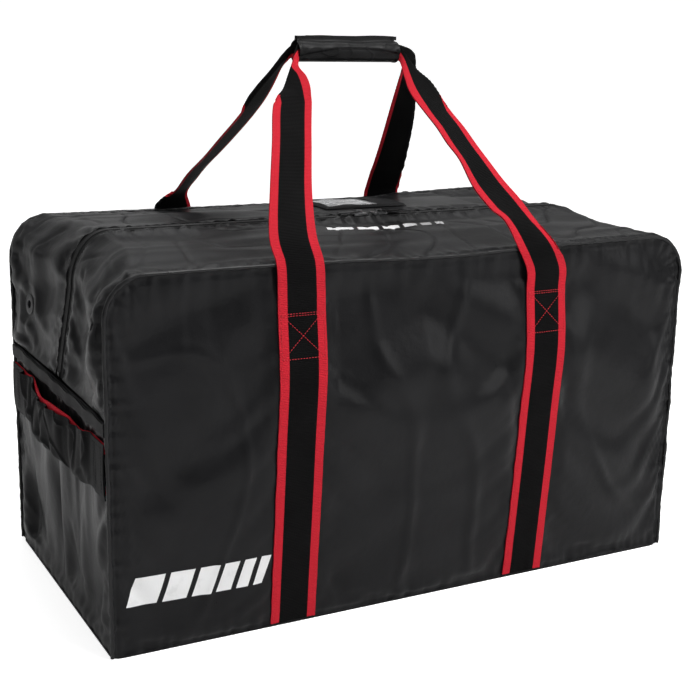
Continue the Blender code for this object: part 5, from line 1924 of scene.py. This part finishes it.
@dataclass(frozen=True)
class Studio:
    """A plain pale floor, soft lights and the camera."""

    camera_place: tuple[float, float, float] = (-0.8089, -1.5218, 0.7129)
    azimuth: float = -28.19
    elevation: float = 14.08
    roll: float = 1.15
    lens: float = 66.6

    def build(self) -> None:
        """Floor, world, lights and camera."""
        bpy.context.scene.view_settings.view_transform = "Standard"
        self.floor()
        self.world()
        self.lamp("key", (0.7, -1.5, 2.7), (0.9, 0.9), 62.0)
        self.lamp("fill", (1.9, -2.4, 1.3), (1.4, 1.0), 15.0)
        self.lamp("side", (-2.4, 1.2, 1.6), (0.7, 1.2), 4.0)
        self.lamp("top", (0.3, 1.0, 2.8), (2.2, 1.4), 24.0)
        self.camera()

    def floor(self) -> None:
        """A wide pale floor that curves up far behind; its glow is mostly for the camera."""
        turn = np.linspace(0.05, math.pi / 2, 16)
        y = np.concatenate([np.linspace(-8.0, 6.0, 30), 6.0 + 3.0 * np.sin(turn)])
        z = np.concatenate([np.zeros(30), 3.0 - 3.0 * np.cos(turn)])
        y, z = np.append(y, 9.0), np.append(z, 9.0)
        x = np.linspace(-12.0, 12.0, 12)
        points = np.stack([np.broadcast_to(x[:, None], (12, len(y))), np.broadcast_to(y, (12, len(y))),
                           np.broadcast_to(z, (12, len(y)))], axis=-1)
        g = Graph("floor_pale")
        speck = g.noise(g.place(), 40.0, 2.0)
        seen = g.node("LightPath", {}).outputs["Is Camera Ray"]
        glow = g.span(seen, 0.0, 1.0, (0.04, 0.70))
        material = g.shade(Base_Color=g.mix(speck, (0.90, 0.90, 0.90), (0.93, 0.93, 0.93)), Roughness=0.7,
                           Specular_IOR_Level=0.2, Emission_Color=(1.0, 1.0, 1.0, 1.0),
                           Emission_Strength=glow)
        flat = facing(points, (0.0, 0.0, 1.0))
        uv = np.zeros((flat.shape[0] * flat.shape[1], 2))
        floor = piece("floor", Mesh(flat.reshape(-1, 3), grid_quads(*flat.shape[:2]), uv), CLOTH)
        floor.data.materials[0] = material
        del floor["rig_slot"]

    def world(self) -> None:
        """Light that is brighter overhead than at the horizon, and plain white for the camera."""
        world = bpy.data.worlds.new("studio")
        world.use_nodes = True
        tree = world.node_tree
        tree.nodes.clear()
        place = tree.nodes.new("ShaderNodeTexCoord")
        split = tree.nodes.new("ShaderNodeSeparateXYZ")
        ramp = tree.nodes.new("ShaderNodeMapRange")
        ramp.inputs["From Min"].default_value, ramp.inputs["From Max"].default_value = -0.1, 0.9
        ramp.inputs["To Min"].default_value, ramp.inputs["To Max"].default_value = 0.08, 0.50
        background = tree.nodes.new("ShaderNodeBackground")
        output = tree.nodes.new("ShaderNodeOutputWorld")
        tree.links.new(place.outputs["Generated"], split.inputs[0])
        tree.links.new(split.outputs[2], ramp.inputs["Value"])
        seen = tree.nodes.new("ShaderNodeLightPath")
        brighter = tree.nodes.new("ShaderNodeMath")
        brighter.operation = "MAXIMUM"
        tree.links.new(ramp.outputs[0], brighter.inputs[0])
        tree.links.new(seen.outputs["Is Camera Ray"], brighter.inputs[1])
        tree.links.new(brighter.outputs[0], background.inputs["Strength"])
        tree.links.new(background.outputs[0], output.inputs[0])
        background.inputs["Color"].default_value = (1.0, 1.0, 1.0, 1.0)
        bpy.context.scene.world = world

    def lamp(self, name: str, place: tuple[float, float, float], size: tuple[float, float],
             power: float) -> None:
        """A soft rectangular light aimed at the bag."""
        light = bpy.data.lights.new(name, "AREA")
        light.shape = "RECTANGLE"
        light.size, light.size_y = size
        light.energy = power
        lamp = bpy.data.objects.new(name, light)
        bpy.context.scene.collection.objects.link(lamp)
        lamp.location = place
        aim = Vector((0.0, 0.0, 0.25)) - Vector(place)
        lamp.rotation_mode = "QUATERNION"
        lamp.rotation_quaternion = aim.to_track_quat("-Z", "Y")

    def camera(self) -> None:
        """A camera with a 36 mm sensor, turned and tilted, then rolled about its own view line."""
        a, e, r = (math.radians(v) for v in (self.azimuth, self.elevation, self.roll))
        ahead = np.array([-math.sin(a) * math.cos(e), math.cos(a) * math.cos(e), -math.sin(e)])
        right = np.array([math.cos(a), math.sin(a), 0.0])
        up = np.cross(right, ahead)
        rolled_right = right * math.cos(r) + up * math.sin(r)
        rolled_up = up * math.cos(r) - right * math.sin(r)
        data = bpy.data.cameras.new("camera")
        data.sensor_width, data.lens = 36.0, self.lens
        camera = bpy.data.objects.new("camera", data)
        bpy.context.scene.collection.objects.link(camera)
        turn = np.eye(4)
        turn[:3] = np.stack([rolled_right, rolled_up, -ahead, self.camera_place], axis=1)
        camera.matrix_world = Matrix(turn.tolist())
        bpy.context.scene.camera = camera


def main() -> None:
    """Build the bag's looks and the studio, in order."""
    logging.basicConfig(level=logging.INFO, format="%(name)s: %(message)s")
    Studio().build()
    body = Body()
    body.settle()
    body.build()
    Zip().build(body.gussets)
    for side in Side:
        Carry(side).build(body.panels[side])
    Wrap().build()
    for end in End:
        EndHandle(end).build()
    POCKET.build()
    SpeedBars().build(body)
    dress_fittings()


if __name__ == "__main__":
    main()
